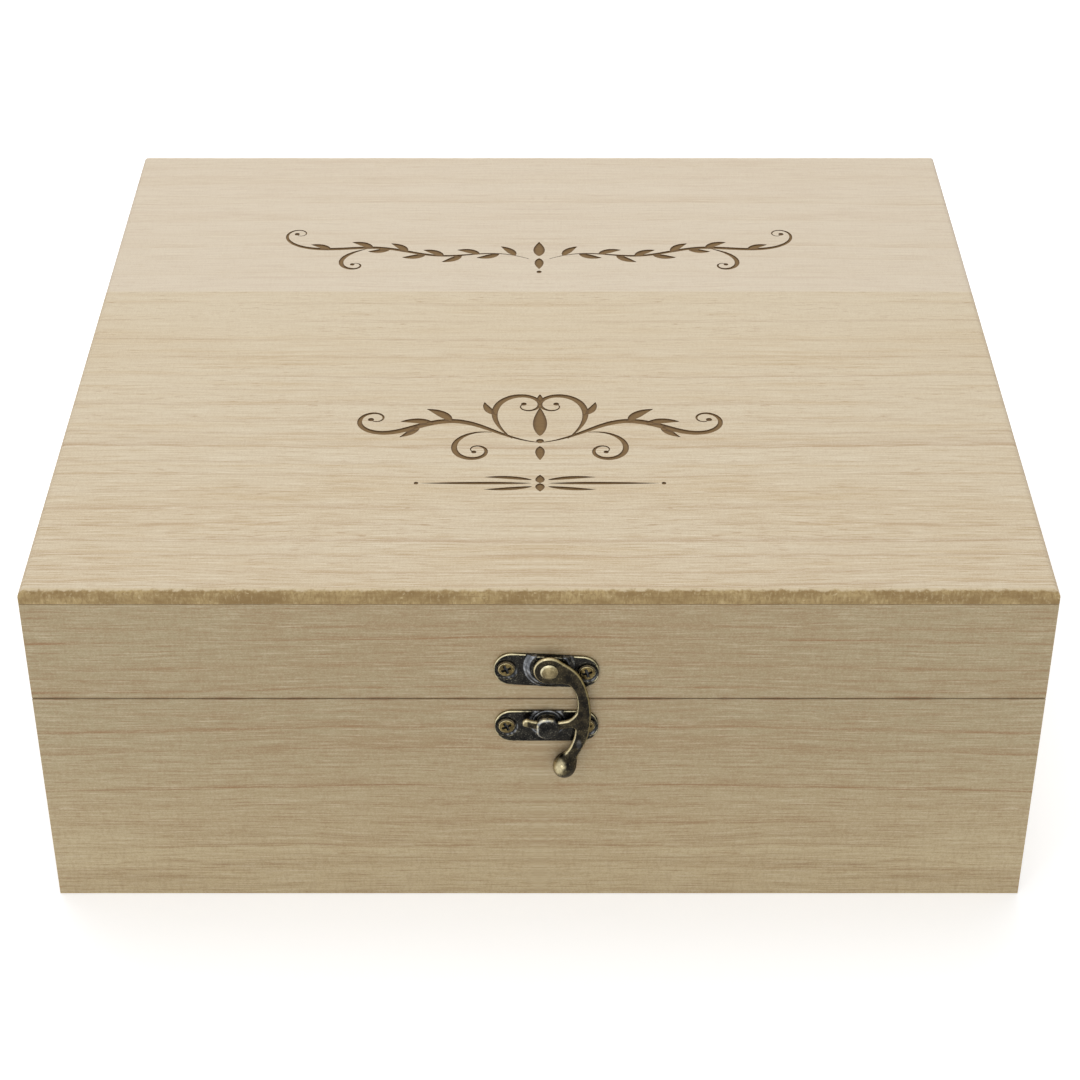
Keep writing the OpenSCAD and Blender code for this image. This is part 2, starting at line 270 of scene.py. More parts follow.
class Effect:
    """A look that several finishes share, kept as one shader node group."""

    title: ClassVar[str]
    takes: ClassVar[Mapping[str, float]]
    gives: ClassVar[Sequence[str]]

    @classmethod
    def wire(cls, w: Wiring, ins: Mapping[str, Socket]) -> dict[str, Socket]:
        """Wire the group's nodes.

        Args:
            w: the group's wiring.
            ins: the group's inputs by name.

        Returns:
            The group's results by name.
        """
        raise NotImplementedError

    @classmethod
    def group(cls) -> bpy.types.NodeTree:
        """Build the group's tree at the first call.

        Returns:
            The tree.
        """
        tree = bpy.data.node_groups.get(cls.title)
        if tree is not None:
            return tree
        tree = bpy.data.node_groups.new(cls.title, "ShaderNodeTree")
        for name, value in cls.takes.items():
            socket = tree.interface.new_socket(name, in_out="INPUT", socket_type="NodeSocketFloat")
            socket.default_value = value
        for name in cls.gives:
            tree.interface.new_socket(name, in_out="OUTPUT", socket_type="NodeSocketFloat")
        source = tree.nodes.new("NodeGroupInput")
        sink = tree.nodes.new("NodeGroupOutput")
        results = cls.wire(Wiring(tree), {name: source.outputs[name] for name in cls.takes})
        for name, socket in results.items():
            tree.links.new(socket, sink.inputs[name])
        return tree

    @classmethod
    def place(cls, w: Wiring, values: Mapping[str, Wired]) -> dict[str, Socket]:
        """Place the group in a material with that material's own values.

        Args:
            w: the material's wiring.
            values: what feeds the group's inputs.

        Returns:
            The group's outputs by name.
        """
        node = w.tree.nodes.new("ShaderNodeGroup")
        node.node_tree = cls.group()
        for name, value in values.items():
            w.put(node.inputs[name], value)
        return {name: node.outputs[name] for name in cls.gives}


class WoodFigure(Effect):
    """Growth figure, fibres and pores of a planed board, from places in metres."""

    title = "Wood figure"
    takes = {"Along": 0.0, "Across": 0.0, "Depth": 0.0, "Mirror": 0.0, "Wave": 0.003, "Seed": 0.0}
    gives = ("Level", "Silk", "Streaks", "Pores", "Cloud", "Ripple", "Fuzz", "Height")

    @classmethod
    def wire(cls, w: Wiring, ins: Mapping[str, Socket]) -> dict[str, Socket]:
        """Wire the group.

        Args:
            w: the group's wiring.
            ins: its inputs by name.

        Returns:
            Its results by name.
        """
        seed = w.times(ins["Seed"], 7.3)
        # Where Mirror is 1, the grain turns back softly about the board's middle.
        folded = w.math("SQRT", w.plus(w.times(ins["Along"], ins["Along"]), 0.00004))
        change = w.times(w.math("SUBTRACT", folded, ins["Along"]), ins["Mirror"])
        along = w.plus(ins["Along"], change)
        across = ins["Across"]
        depth = ins["Depth"]

        def noise(run: float, rise: float, level: Socket, detail: float, roughness: float) -> Socket:
            """Make noise that follows the grain.

            Args:
                run: its cells a metre along the grain.
                rise: its cells a metre across it.
                level: the place across the grain.
                detail: the number of finer layers.
                roughness: how strong they are.

            Returns:
                The noise value.
            """
            through = w.plus(w.times(depth, rise * 0.4), seed)
            return w.noise(w.times(along, run), w.times(level, rise), through, detail, roughness)

        slow = noise(8.0, 22.0, across, 2.0, 0.5)
        quick = noise(42.0, 120.0, across, 2.0, 0.5)
        bend = w.plus(w.math("SUBTRACT", slow, 0.5), w.times(w.math("SUBTRACT", quick, 0.5), 0.22))
        level = w.plus(across, w.times(bend, ins["Wave"]))
        silk = noise(62.0, 2100.0, level, 3.0, 0.72)
        streaks = noise(15.0, 430.0, level, 3.0, 0.62)
        pores = noise(170.0, 2100.0, level, 2.0, 0.6)
        patch = noise(22.0, 170.0, level, 2.0, 0.5)
        ripple = noise(1100.0, 300.0, across, 2.0, 0.6)
        return {
            "Level": level,
            "Silk": silk,
            "Streaks": w.spread(streaks, 0.47, 0.76),
            "Pores": w.times(w.spread(pores, 0.585, 0.70), w.spread(patch, 0.36, 0.64, 0.15, 1.0)),
            "Cloud": noise(6.0, 34.0, level, 2.0, 0.5),
            "Ripple": ripple,
            "Fuzz": noise(2300.0, 3300.0, across, 1.0, 0.5),
            "Height": w.plus(w.times(silk, 0.6), w.times(pores, 0.4)),
        }


class EndGrain(Effect):
    """Open pores and dark bands where a board is cut across, from places in metres."""

    title = "End grain"
    takes = {"Across": 0.0, "Depth": 0.0, "Along": 0.0, "Seed": 0.0}
    gives = ("Pores", "Bands")

    @classmethod
    def wire(cls, w: Wiring, ins: Mapping[str, Socket]) -> dict[str, Socket]:
        """Wire the group.

        Args:
            w: the group's wiring.
            ins: its inputs by name.

        Returns:
            Its results by name.
        """
        seed = w.times(ins["Seed"], 3.1)
        fine = w.noise(
            w.times(ins["Across"], 2100.0), w.times(ins["Depth"], 2100.0),
            w.plus(w.times(ins["Along"], 500.0), seed), 2.0,
        )
        wide = w.noise(
            w.times(ins["Across"], 260.0), w.times(ins["Depth"], 620.0),
            w.plus(w.times(ins["Along"], 20.0), seed), 2.0,
        )
        return {"Pores": w.spread(fine, 0.50, 0.68), "Bands": w.spread(wide, 0.38, 0.66)}


class EdgeWear(Effect):
    """Rubbed edges, broken up along their length, from a mask of where the edges are."""

    title = "Edge wear"
    takes = {"Edge": 0.0, "Reach": 0.5, "Breakup": 0.4, "Cells": 900.0, "X": 0.0, "Y": 0.0, "Z": 0.0}
    gives = ("Worn",)

    @classmethod
    def wire(cls, w: Wiring, ins: Mapping[str, Socket]) -> dict[str, Socket]:
        """Wire the group.

        Args:
            w: the group's wiring.
            ins: its inputs by name.

        Returns:
            Its results by name.
        """
        places = [w.times(ins[axis], ins["Cells"]) for axis in "XYZ"]
        rough = w.noise(*places, 3.0, 0.6)
        loss = w.times(w.math("SUBTRACT", rough, 0.5), ins["Breakup"])
        start = w.math("SUBTRACT", 1.0, ins["Reach"])
        rubbed_and_lit = w.math("SUBTRACT", w.plus(ins["Edge"], loss), start)
        return {"Worn": w.spread(rubbed_and_lit, 0.0, 0.35)}


class Patina(Effect):
    """Clouds, flecks and tool marks of an aged plated casting, from places in metres."""

    title = "Patina"
    takes = {"X": 0.0, "Y": 0.0, "Z": 0.0, "Cells": 1000.0, "Seed": 0.0}
    gives = ("Cloud", "Flecks", "Height")

    @classmethod
    def wire(cls, w: Wiring, ins: Mapping[str, Socket]) -> dict[str, Socket]:
        """Wire the group.

        Args:
            w: the group's wiring.
            ins: its inputs by name.

        Returns:
            Its results by name.
        """
        places = [w.plus(w.times(ins[axis], ins["Cells"]), ins["Seed"]) for axis in "XYZ"]
        cloud = w.noise(*[w.times(place, 0.45) for place in places], 3.0, 0.6)
        grain = w.noise(*[w.times(place, 2.6) for place in places], 2.0, 0.6)
        return {
            "Cloud": w.spread(cloud, 0.32, 0.70),
            "Flecks": w.times(w.spread(grain, 0.56, 0.70), w.spread(cloud, 0.34, 0.62, 0.15, 1.0)),
            "Height": w.plus(w.times(cloud, 0.6), w.times(grain, 0.4)),
        }


# Finishes


@dataclass(frozen=True)
class Finish:
    """What a surface is made of and how it looks."""

    name: str

    def dress(self, w: Wiring, shader: bpy.types.Node) -> None:
        """Wire the finish into a Principled shader.

        Args:
            w: the material's wiring.
            shader: the Principled shader.
        """
        raise NotImplementedError

    def material(self) -> bpy.types.Material:
        """Build the finish's material at the first call.

        Returns:
            The material.
        """
        found = bpy.data.materials.get(self.name)
        if found is not None:
            return found
        material = bpy.data.materials.new(self.name)
        material.use_nodes = True
        w = Wiring(material.node_tree)
        w.tree.nodes.clear()
        output = w.add("OutputMaterial")
        shader = w.add("BsdfPrincipled")
        w.put(output.inputs["Surface"], shader.outputs[0])
        self.dress(w, shader)
        return material

    @staticmethod
    def places(w: Wiring) -> dict[str, Socket]:
        """Return the object's own X, Y and Z."""
        split = w.add("SeparateXYZ", {0: w.add("TexCoord").outputs["Object"]})
        return {axis: split.outputs[axis] for axis in "XYZ"}


@dataclass(frozen=True)
class GrowthLine:
    """A dark line of late wood: its place across the board, shade and the soft side's width, in mm."""

    at: float
    shade: float
    soft: float


@dataclass(frozen=True)
class BareWood(Finish):
    """Planed and sanded pale wood with no varnish."""

    grain: Grain = Grain.UPRIGHT
    pale: Colour = (0.69, 0.55, 0.37)
    tan: Colour = (0.55, 0.41, 0.24)
    dark: Colour = (0.30, 0.175, 0.085)
    lines: tuple[GrowthLine, ...] = ()
    span: tuple[float, float] = (0.0, 110.0)
    slope: float = 0.0
    wave: float = 0.006
    mirror: float = 0.0
    seed: float = 0.0
    pores: float = 0.66
    cloud: float = 0.4
    streaks: float = 0.55
    silk: float = 0.78
    bolder: float = 0.0
    ripple: float = 0.10
    fuzz: float = 0.24
    line: Colour = (0.338, 0.191, 0.083)
    sheen: Colour = (0.80, 0.71, 0.55)
    seam_shade_at: float = -1.0
    painted_foot_light: float = 0.0
    foot_light_colour: Colour = (0.70, 0.58, 0.356)

    def tan_shade(self) -> Colour:
        """Return a colour between the tan and the dark one."""
        return tuple(0.6 * tan + 0.4 * dark for tan, dark in zip(self.tan, self.dark))

    def drawn_lines(self, w: Wiring, level: Socket, along: Socket) -> Socket:
        """Draw the growth lines that have a place of their own.

        Args:
            w: the material's wiring.
            level: the wavy place across the board, in metres.
            along: the place along it.

        Returns:
            The lines' shade, 0 to 1.
        """
        low, high = self.span
        span = high - low
        drop = w.times(w.math("ABSOLUTE", along), self.slope)
        share = w.times(w.math("SUBTRACT", w.plus(level, drop), low * MM), 1.0 / (span * MM))
        drawn: Wired = 0.0
        for first in range(0, len(self.lines), 7):
            stops = [(0.0, 0.0)]
            for line in sorted(self.lines[first : first + 7], key=lambda each: each.at):
                place = (line.at - low) / span
                stops += [
                    (place - 0.35 / span, 0.0),
                    (place, line.shade),
                    (place + 0.45 / span, line.shade * 0.42),
                    (place + line.soft / span, 0.0),
                ]
            drawn = w.math("MAXIMUM", drawn, w.ramp(share, stops))
        return drawn

    def seam_shade(self, w: Wiring, along: Socket, across: Socket) -> Socket:
        """Paint shade on the wood beside the seam, in patches.

        Args:
            w: the material's wiring.
            along: the place along the board.
            across: the place across it.

        Returns:
            The painted shade's strength, 0 to 1.
        """
        away = w.math("ABSOLUTE", w.math("SUBTRACT", across, self.seam_shade_at * MM))
        patch = w.noise(w.times(along, 55.0), 0.0, 0.0, 3.0, 0.65)
        near = w.times(w.spread(away, 0.0008, 0.0003), w.spread(patch, 0.36, 0.64, 0.0, 0.8))
        normal = w.add("SeparateXYZ", {0: w.add("TexCoord").outputs["Normal"]})
        return w.times(near, w.spread(w.math("ABSOLUTE", normal.outputs["Z"]), 0.80, 0.97, 1.0, 0.0))

    def dress(self, w: Wiring, shader: bpy.types.Node) -> None:
        """Wire the wood.

        Args:
            w: the material's wiring.
            shader: its Principled shader.
        """
        places = self.places(w)
        along, across, depth = (places[axis] for axis in self.grain.value)
        figure = WoodFigure.place(
            w,
            {
                "Along": along, "Across": across, "Depth": depth,
                "Mirror": self.mirror, "Wave": self.wave, "Seed": self.seed,
            },
        )
        # Painted light: the wood is made paler toward the board's foot, below 70 mm.
        paler = w.tint(w.spread(across, 0.070, 0.0, 0.0, self.painted_foot_light), self.pale, self.foot_light_colour)
        colour = w.tint(w.spread(figure["Cloud"], 0.36, 0.66, 0.0, self.cloud), paler, self.tan)
        colour = w.tint(w.times(figure["Streaks"], self.streaks), colour, self.tan)
        silk = figure["Silk"]
        deep = self.tan_shade()
        if self.lines:
            drawn = self.drawn_lines(w, figure["Level"], along)
            fade = w.noise(w.times(along, 16.0), w.times(across, 130.0), w.times(depth, 60.0), 3.0, 0.6)
            drawn = w.times(drawn, w.spread(fade, 0.34, 0.60, 0.25, 1.15))
            drawn = w.times(drawn, w.spread(silk, 0.66, 0.40, 0.45, 1.5))
            colour = w.tint(drawn, colour, self.line)
        bold = w.spread(across, self.span[1] * MM, self.span[0] * MM, self.silk - self.bolder, self.silk)
        colour = w.tint(w.times(w.spread(silk, 0.50, 0.30), bold), colour, deep)
        colour = w.tint(w.times(w.spread(silk, 0.50, 0.74), bold), colour, self.sheen)
        colour = w.tint(w.spread(figure["Fuzz"], 0.50, 0.30, 0.0, self.fuzz), colour, deep)
        colour = w.tint(w.spread(figure["Fuzz"], 0.50, 0.70, 0.0, self.fuzz), colour, self.sheen)
        colour = w.tint(w.spread(figure["Ripple"], 0.45, 0.72, 0.0, self.ripple), colour, deep)
        colour = w.tint(w.times(figure["Pores"], self.pores), colour, self.line)
        # Painted shade on the wood beside the seam.
        if self.seam_shade_at > 0:
            colour = w.tint(self.seam_shade(w, along, across), colour, (0.24, 0.115, 0.052))
        ends = EndGrain.place(w, {"Across": across, "Depth": depth, "Along": along, "Seed": self.seed})
        end_colour = w.tint(w.times(ends["Bands"], 0.5), self.tan, self.dark)
        end_colour = w.tint(w.times(ends["Pores"], 0.55), end_colour, self.dark)
        normal = w.add("SeparateXYZ", {0: w.add("TexCoord").outputs["Normal"]})
        facing = w.math("ABSOLUTE", normal.outputs[self.grain.value[0]])
        is_end = w.spread(facing, 0.55, 0.85)
        colour = w.tint(w.times(is_end, 0.55), colour, end_colour)
        w.put(shader.inputs["Base Color"], colour)
        w.put(shader.inputs["Roughness"], w.spread(figure["Height"], 0.3, 0.7, 0.50, 0.64))
        w.put(shader.inputs["Specular IOR Level"], 0.4)
        w.put(shader.inputs["Normal"], w.bump(figure["Height"], 0.00012, 0.5))


@dataclass(frozen=True)
class BandWood(Finish):
    """The rounded edge of the lid's top, coloured darker than its face."""

    light: Colour = (0.475, 0.345, 0.158)
    deep: Colour = (0.285, 0.183, 0.071)
    fleck: Colour = (0.74, 0.60, 0.36)
    face: Colour = (0.64, 0.52, 0.335)
    top: float = 0.1085

    def dress(self, w: Wiring, shader: bpy.types.Node) -> None:
        """Wire the wood.

        Args:
            w: the material's wiring.
            shader: its Principled shader.
        """
        x, y, z = self.places(w).values()
        figure = WoodFigure.place(w, {"Along": x, "Across": z, "Depth": y, "Seed": 9.0})
        patches = w.noise(w.times(x, 70.0), w.times(z, 200.0), w.times(y, 70.0), 4.0, 0.65)
        fuzz = w.noise(w.times(x, 1400.0), w.times(z, 480.0), w.times(y, 1400.0), 3.0, 0.6)
        flecks = w.noise(w.times(x, 640.0), w.times(z, 1000.0), w.times(y, 640.0), 2.0)
        colour = w.tint(w.spread(patches, 0.34, 0.70), self.light, self.deep)
        colour = w.tint(w.spread(fuzz, 0.46, 0.66, 0.0, 0.70), colour, self.deep)
        colour = w.tint(w.spread(figure["Silk"], 0.48, 0.28, 0.0, 0.60), colour, self.deep)
        colour = w.tint(w.spread(fuzz, 0.46, 0.28, 0.0, 0.34), colour, self.fleck)
        colour = w.tint(w.spread(flecks, 0.66, 0.78, 0.0, 0.60), colour, self.fleck)
        ragged = w.noise(w.times(x, 420.0), w.times(y, 420.0), 0.0, 3.0, 0.65)
        border = w.plus(z, w.times(w.math("SUBTRACT", ragged, 0.5), 0.0012))
        colour = w.tint(w.spread(border, self.top - 0.0004, self.top), colour, self.face)
        w.put(shader.inputs["Base Color"], colour)
        w.put(shader.inputs["Roughness"], w.spread(patches, 0.3, 0.7, 0.5, 0.66))
        w.put(shader.inputs["Specular IOR Level"], 0.35)
        w.put(shader.inputs["Normal"], w.bump(fuzz, 0.0002, 0.7))


@dataclass(frozen=True)
class ScorchedWood(Finish):
    """The floor and walls of the engraved lines, browned by the heat that cut them."""

    light: Colour = (0.212, 0.128, 0.050)
    deep: Colour = (0.118, 0.066, 0.027)

    def dress(self, w: Wiring, shader: bpy.types.Node) -> None:
        """Wire the wood.

        Args:
            w: the material's wiring.
            shader: its Principled shader.
        """
        x, y, z = self.places(w).values()
        figure = WoodFigure.place(w, {"Along": x, "Across": y, "Depth": z, "Wave": 0.006, "Seed": 2.0})
        rim = w.add("Attribute", attribute_name="rim").outputs["Fac"]
        passes = w.noise(w.times(x, 300.0), w.times(y, 2400.0), 0.0, 2.0)
        colour = w.tint(w.spread(rim, 0.35, 1.0, 0.0, 0.9), self.light, self.deep)
        colour = w.tint(w.spread(figure["Silk"], 0.50, 0.26, 0.0, 0.7), colour, self.deep)
        colour = w.tint(w.spread(passes, 0.5, 0.75, 0.0, 0.30), colour, (0.30, 0.195, 0.085))
        w.put(shader.inputs["Base Color"], colour)
        w.put(shader.inputs["Roughness"], w.spread(passes, 0.3, 0.7, 0.62, 0.8))
        w.put(shader.inputs["Specular IOR Level"], 0.25)
        w.put(shader.inputs["Normal"], w.bump(passes, 0.00015, 0.6))


@dataclass(frozen=True)
class AgedMetal(Finish):
    """Plated cast metal with a dark patina and worn bright edges, with painted highlights and a painted
    sheen on the parts that face up and left.
    """

    body: Colour = (0.004, 0.0038, 0.0035)
    haze: Colour = (0.020, 0.018, 0.0145)
    fleck: Colour = (0.30, 0.285, 0.22)
    worn: Colour = (0.62, 0.56, 0.37)
    dull: Colour = (0.27, 0.235, 0.125)
    painted_sheen: Colour = (0.235, 0.25, 0.275)
    hollow: Colour = (0.003, 0.0028, 0.0025)
    reach: float = 0.58
    breakup: float = 0.65
    shaded_side_share: float = 0.42
    flecks: float = 0.6
    seed: float = 0.0
    smooth: float = 0.26

    @staticmethod
    def masks(w: Wiring) -> dict[str, Socket]:
        """Return the castings' masks of edges, hollows and the slopes that carry a painted sheen."""
        names = ("edge", "hollow", "painted_sheen")
        return {name: w.add("Attribute", attribute_name=name).outputs["Fac"] for name in names}

    def rubbed_and_lit(self, w: Wiring) -> Socket:
        """Return how much the surface faces up and left, toward the light, which places the painted
        highlights and shade.
        """
        normal = w.add("SeparateXYZ", {0: w.add("TexCoord").outputs["Normal"]}).outputs
        return w.plus(w.times(normal["X"], -0.80), w.times(normal["Z"], 0.55))

    def dress(self, w: Wiring, shader: bpy.types.Node) -> None:
        """Wire the metal.

        Args:
            w: the material's wiring.
            shader: its Principled shader.
        """
        places = self.places(w)
        masks = self.masks(w)
        rubbed_and_lit = self.rubbed_and_lit(w)
        # Painted highlight: edges that face up and left keep all of their wear mark, edges facing away
        # only the shaded side's share.
        edge = w.times(masks["edge"], w.spread(rubbed_and_lit, -0.80, 0.45, self.shaded_side_share, 1.0))
        patina = Patina.place(w, {**places, "Cells": 1000.0, "Seed": self.seed})
        worn = EdgeWear.place(
            w, {**places, "Edge": edge, "Reach": self.reach, "Breakup": self.breakup, "Cells": 1100.0}
        )["Worn"]
        colour = w.tint(patina["Cloud"], self.body, self.haze)
        colour = w.tint(w.times(patina["Flecks"], self.flecks), colour, self.fleck)
        # Painted reflection: a blue-grey sheen with pale painted highlight streaks, on the marked slopes
        # that face up and left.
        painted_sheen = w.spread(w.plus(masks["painted_sheen"], w.times(rubbed_and_lit, 1.1)), 0.55, 1.25)
        painted_sheen = w.times(painted_sheen, w.math("MINIMUM", w.times(masks["painted_sheen"], 4.0), 1.0))
        painted_sheen = w.times(painted_sheen, w.spread(patina["Cloud"], 0.0, 1.0, 0.45, 1.0))
        painted_streak = w.spread(patina["Height"], 0.44, 0.60)
        colour = w.tint(painted_sheen, colour, w.tint(w.times(painted_streak, 0.5), self.painted_sheen, (0.50, 0.51, 0.52)))
        # Painted light and shade: the wear takes its bright colour where it faces up and left, and its
        # dull colour where it faces away.
        colour = w.tint(worn, colour, w.tint(w.spread(rubbed_and_lit, -0.35, 0.62), self.dull, self.worn))
        colour = w.tint(masks["hollow"], colour, self.hollow)
        w.put(shader.inputs["Base Color"], colour)
        plated = w.spread(worn, 0.0, 1.0, 0.86, 1.0)
        w.put(shader.inputs["Metallic"], w.times(plated, w.spread(masks["hollow"], 0.2, 1.0, 1.0, 0.0)))
        rough = w.plus(w.times(patina["Cloud"], 0.16), self.smooth)
        rough = w.plus(rough, w.times(patina["Flecks"], 0.1))
        w.put(shader.inputs["Roughness"], w.plus(rough, w.times(painted_sheen, -0.08)))
        w.put(shader.inputs["Normal"], w.bump(patina["Height"], 0.00006, 0.6))


@dataclass(frozen=True)
class Backdrop(Finish):
    """The pale floor, which shows white but keeps the box's soft shadow."""

    colour: Colour = (0.88, 0.88, 0.88)
    lift: float = 0.46

    def dress(self, w: Wiring, shader: bpy.types.Node) -> None:
        """Wire the floor.

        Args:
            w: the material's wiring.
            shader: its Principled shader.
        """
        x, y, _ = self.places(w).values()
        fine = w.noise(w.times(x, 40.0), w.times(y, 40.0), 0.0, 3.0)
        w.put(shader.inputs["Base Color"], w.tint(w.times(fine, 0.04), self.colour, (0.83, 0.83, 0.83)))
        w.put(shader.inputs["Roughness"], 0.9)
        w.put(shader.inputs["Specular IOR Level"], 0.1)
        w.put(shader.inputs["Emission Color"], (1.0, 1.0, 1.0))
        glow = w.spread(w.math("SQRT", w.plus(w.times(x, x), w.times(y, y))), 0.40, 1.0, self.lift, 1.0)
        w.put(shader.inputs["Emission Strength"], w.times(w.shows_backdrop(), glow))


# Meshes


@dataclass
class Piece:
    """One Blender piece and what it stands for."""

    name: str
    body: Body
    slot: Slot
    stands_for: tuple[str, ...]

    def add(
        self,
        points: Points,
        faces: Sequence[Sequence[int]],
        finishes: Sequence[Finish],
        marks: Mapping[str, np.ndarray] | None = None,
        kinds: Sequence[int] | None = None,
    ) -> bpy.types.Object:
        """Make the piece, ride it on its body and hide the CAD nodes it stands for.

        Args:
            points: its vertices, in metres.
            faces: its faces, as vertex numbers.
            finishes: its finishes.
            marks: masks for the finishes, one number a vertex.
            kinds: the finish of each face.

        Returns:
            The new object.
        """
        mesh = bpy.data.meshes.new(self.name)
        mesh.from_pydata(np.asarray(points).tolist(), [], [list(map(int, face)) for face in faces])
        for finish in finishes:
            mesh.materials.append(finish.material())
        if kinds is not None:
            mesh.polygons.foreach_set("material_index", list(kinds))
        for name, values in (marks or {}).items():
            layer = mesh.attributes.new(name, "FLOAT", "POINT")
            layer.data.foreach_set("value", np.asarray(values, np.float32))
        mesh.update()
        piece = bpy.data.objects.new(self.name, mesh)
        bpy.context.scene.collection.objects.link(piece)
        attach(piece, self.body.value)
        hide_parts(*self.stands_for)
        LOG.info("%s: %d faces on %s", self.name, len(mesh.polygons), self.body.value)
        return piece


@dataclass(frozen=True)
class Mount:
    """A place on the front or back, whose X runs right and Z out of the wood. In mm."""

    x: float
    y: float
    z: float
    tilt: float = 0.0
    back: bool = False

    def out(self, points: Points) -> Points:
        """Move points from the mount's own frame to the box's frame, in metres.

        Args:
            points: places to the right, up and out of the wood, in mm.

        Returns:
            The same places in the box's frame.
        """
        turn = math.radians(self.tilt)
        right = points[:, 0] * math.cos(turn) - points[:, 1] * math.sin(turn)
        up = points[:, 0] * math.sin(turn) + points[:, 1] * math.cos(turn)
        side = -1.0 if self.back else 1.0
        place = (self.x + side * right, self.y - side * points[:, 2], self.z + up)
        return np.stack(place, 1) * MM


def disc(points: Points, x: float, y: float, radius: float) -> np.ndarray:
    """Return the distance to a circle in the plane."""
    return np.hypot(points[..., 0] - x, points[..., 1] - y) - radius


def rounded_box(points: Points, width: float, height: float, corner: float) -> np.ndarray:
    """Measure to a rounded rectangle about the middle.

    Args:
        points: where to measure.
        width: the rectangle's width.
        height: its height.
        corner: its corner radius.

    Returns:
        The distances, negative inside.
    """
    over_x = np.abs(points[..., 0]) - width / 2 + corner
    over_y = np.abs(points[..., 1]) - height / 2 + corner
    outside = np.hypot(np.maximum(over_x, 0), np.maximum(over_y, 0))
    return outside + np.minimum(np.maximum(over_x, over_y), 0) - corner


def chain(points: Points, stations: np.ndarray) -> np.ndarray:
    """Measure to a ribbon of changing width.

    Args:
        points: where to measure.
        stations: X, Y and half width along the ribbon.

    Returns:
        The distances, negative inside.
    """
    nearest = np.full(points.shape[:-1], 1e9)
    for start, end in zip(stations[:-1], stations[1:]):
        run = end[:2] - start[:2]
        past = points[..., :2] - start[:2]
        share = np.clip((past @ run) / (run @ run), 0, 1)
        gap = np.hypot(past[..., 0] - share * run[0], past[..., 1] - share * run[1])
        nearest = np.minimum(nearest, gap - start[2] - share * (end[2] - start[2]))
    return nearest


def slab(flat: np.ndarray, out: np.ndarray, low: float, high: float, edge: float) -> np.ndarray:
    """Give an outline a thickness and rounded edges.

    Args:
        flat: the distances to the outline.
        out: how far each point lies out of the wood.
        low: where the slab starts.
        high: where it ends.
        edge: the radius of its edges.

    Returns:
        The distances to the slab.
    """
    beside = flat + edge
    above = np.abs(out - (low + high) / 2) - (high - low) / 2 + edge
    outside = np.hypot(np.maximum(beside, 0), np.maximum(above, 0))
    return outside + np.minimum(np.maximum(beside, above), 0) - edge


def melt(first: np.ndarray, second: np.ndarray, soft: float) -> np.ndarray:
    """Join two forms with a fillet.

    Args:
        first: the distances to one form.
        second: the distances to the other.
        soft: how wide the fillet is.

    Returns:
        The distances to both together.
    """
    share = np.clip(0.5 + 0.5 * (second - first) / soft, 0, 1)
    return second * (1 - share) + first * share - soft * share * (1 - share)


def carve(form: np.ndarray, cut: np.ndarray, soft: float) -> np.ndarray:
    """Return the distances to a form with a softly edged cut."""
    return -melt(-form, cut, soft)


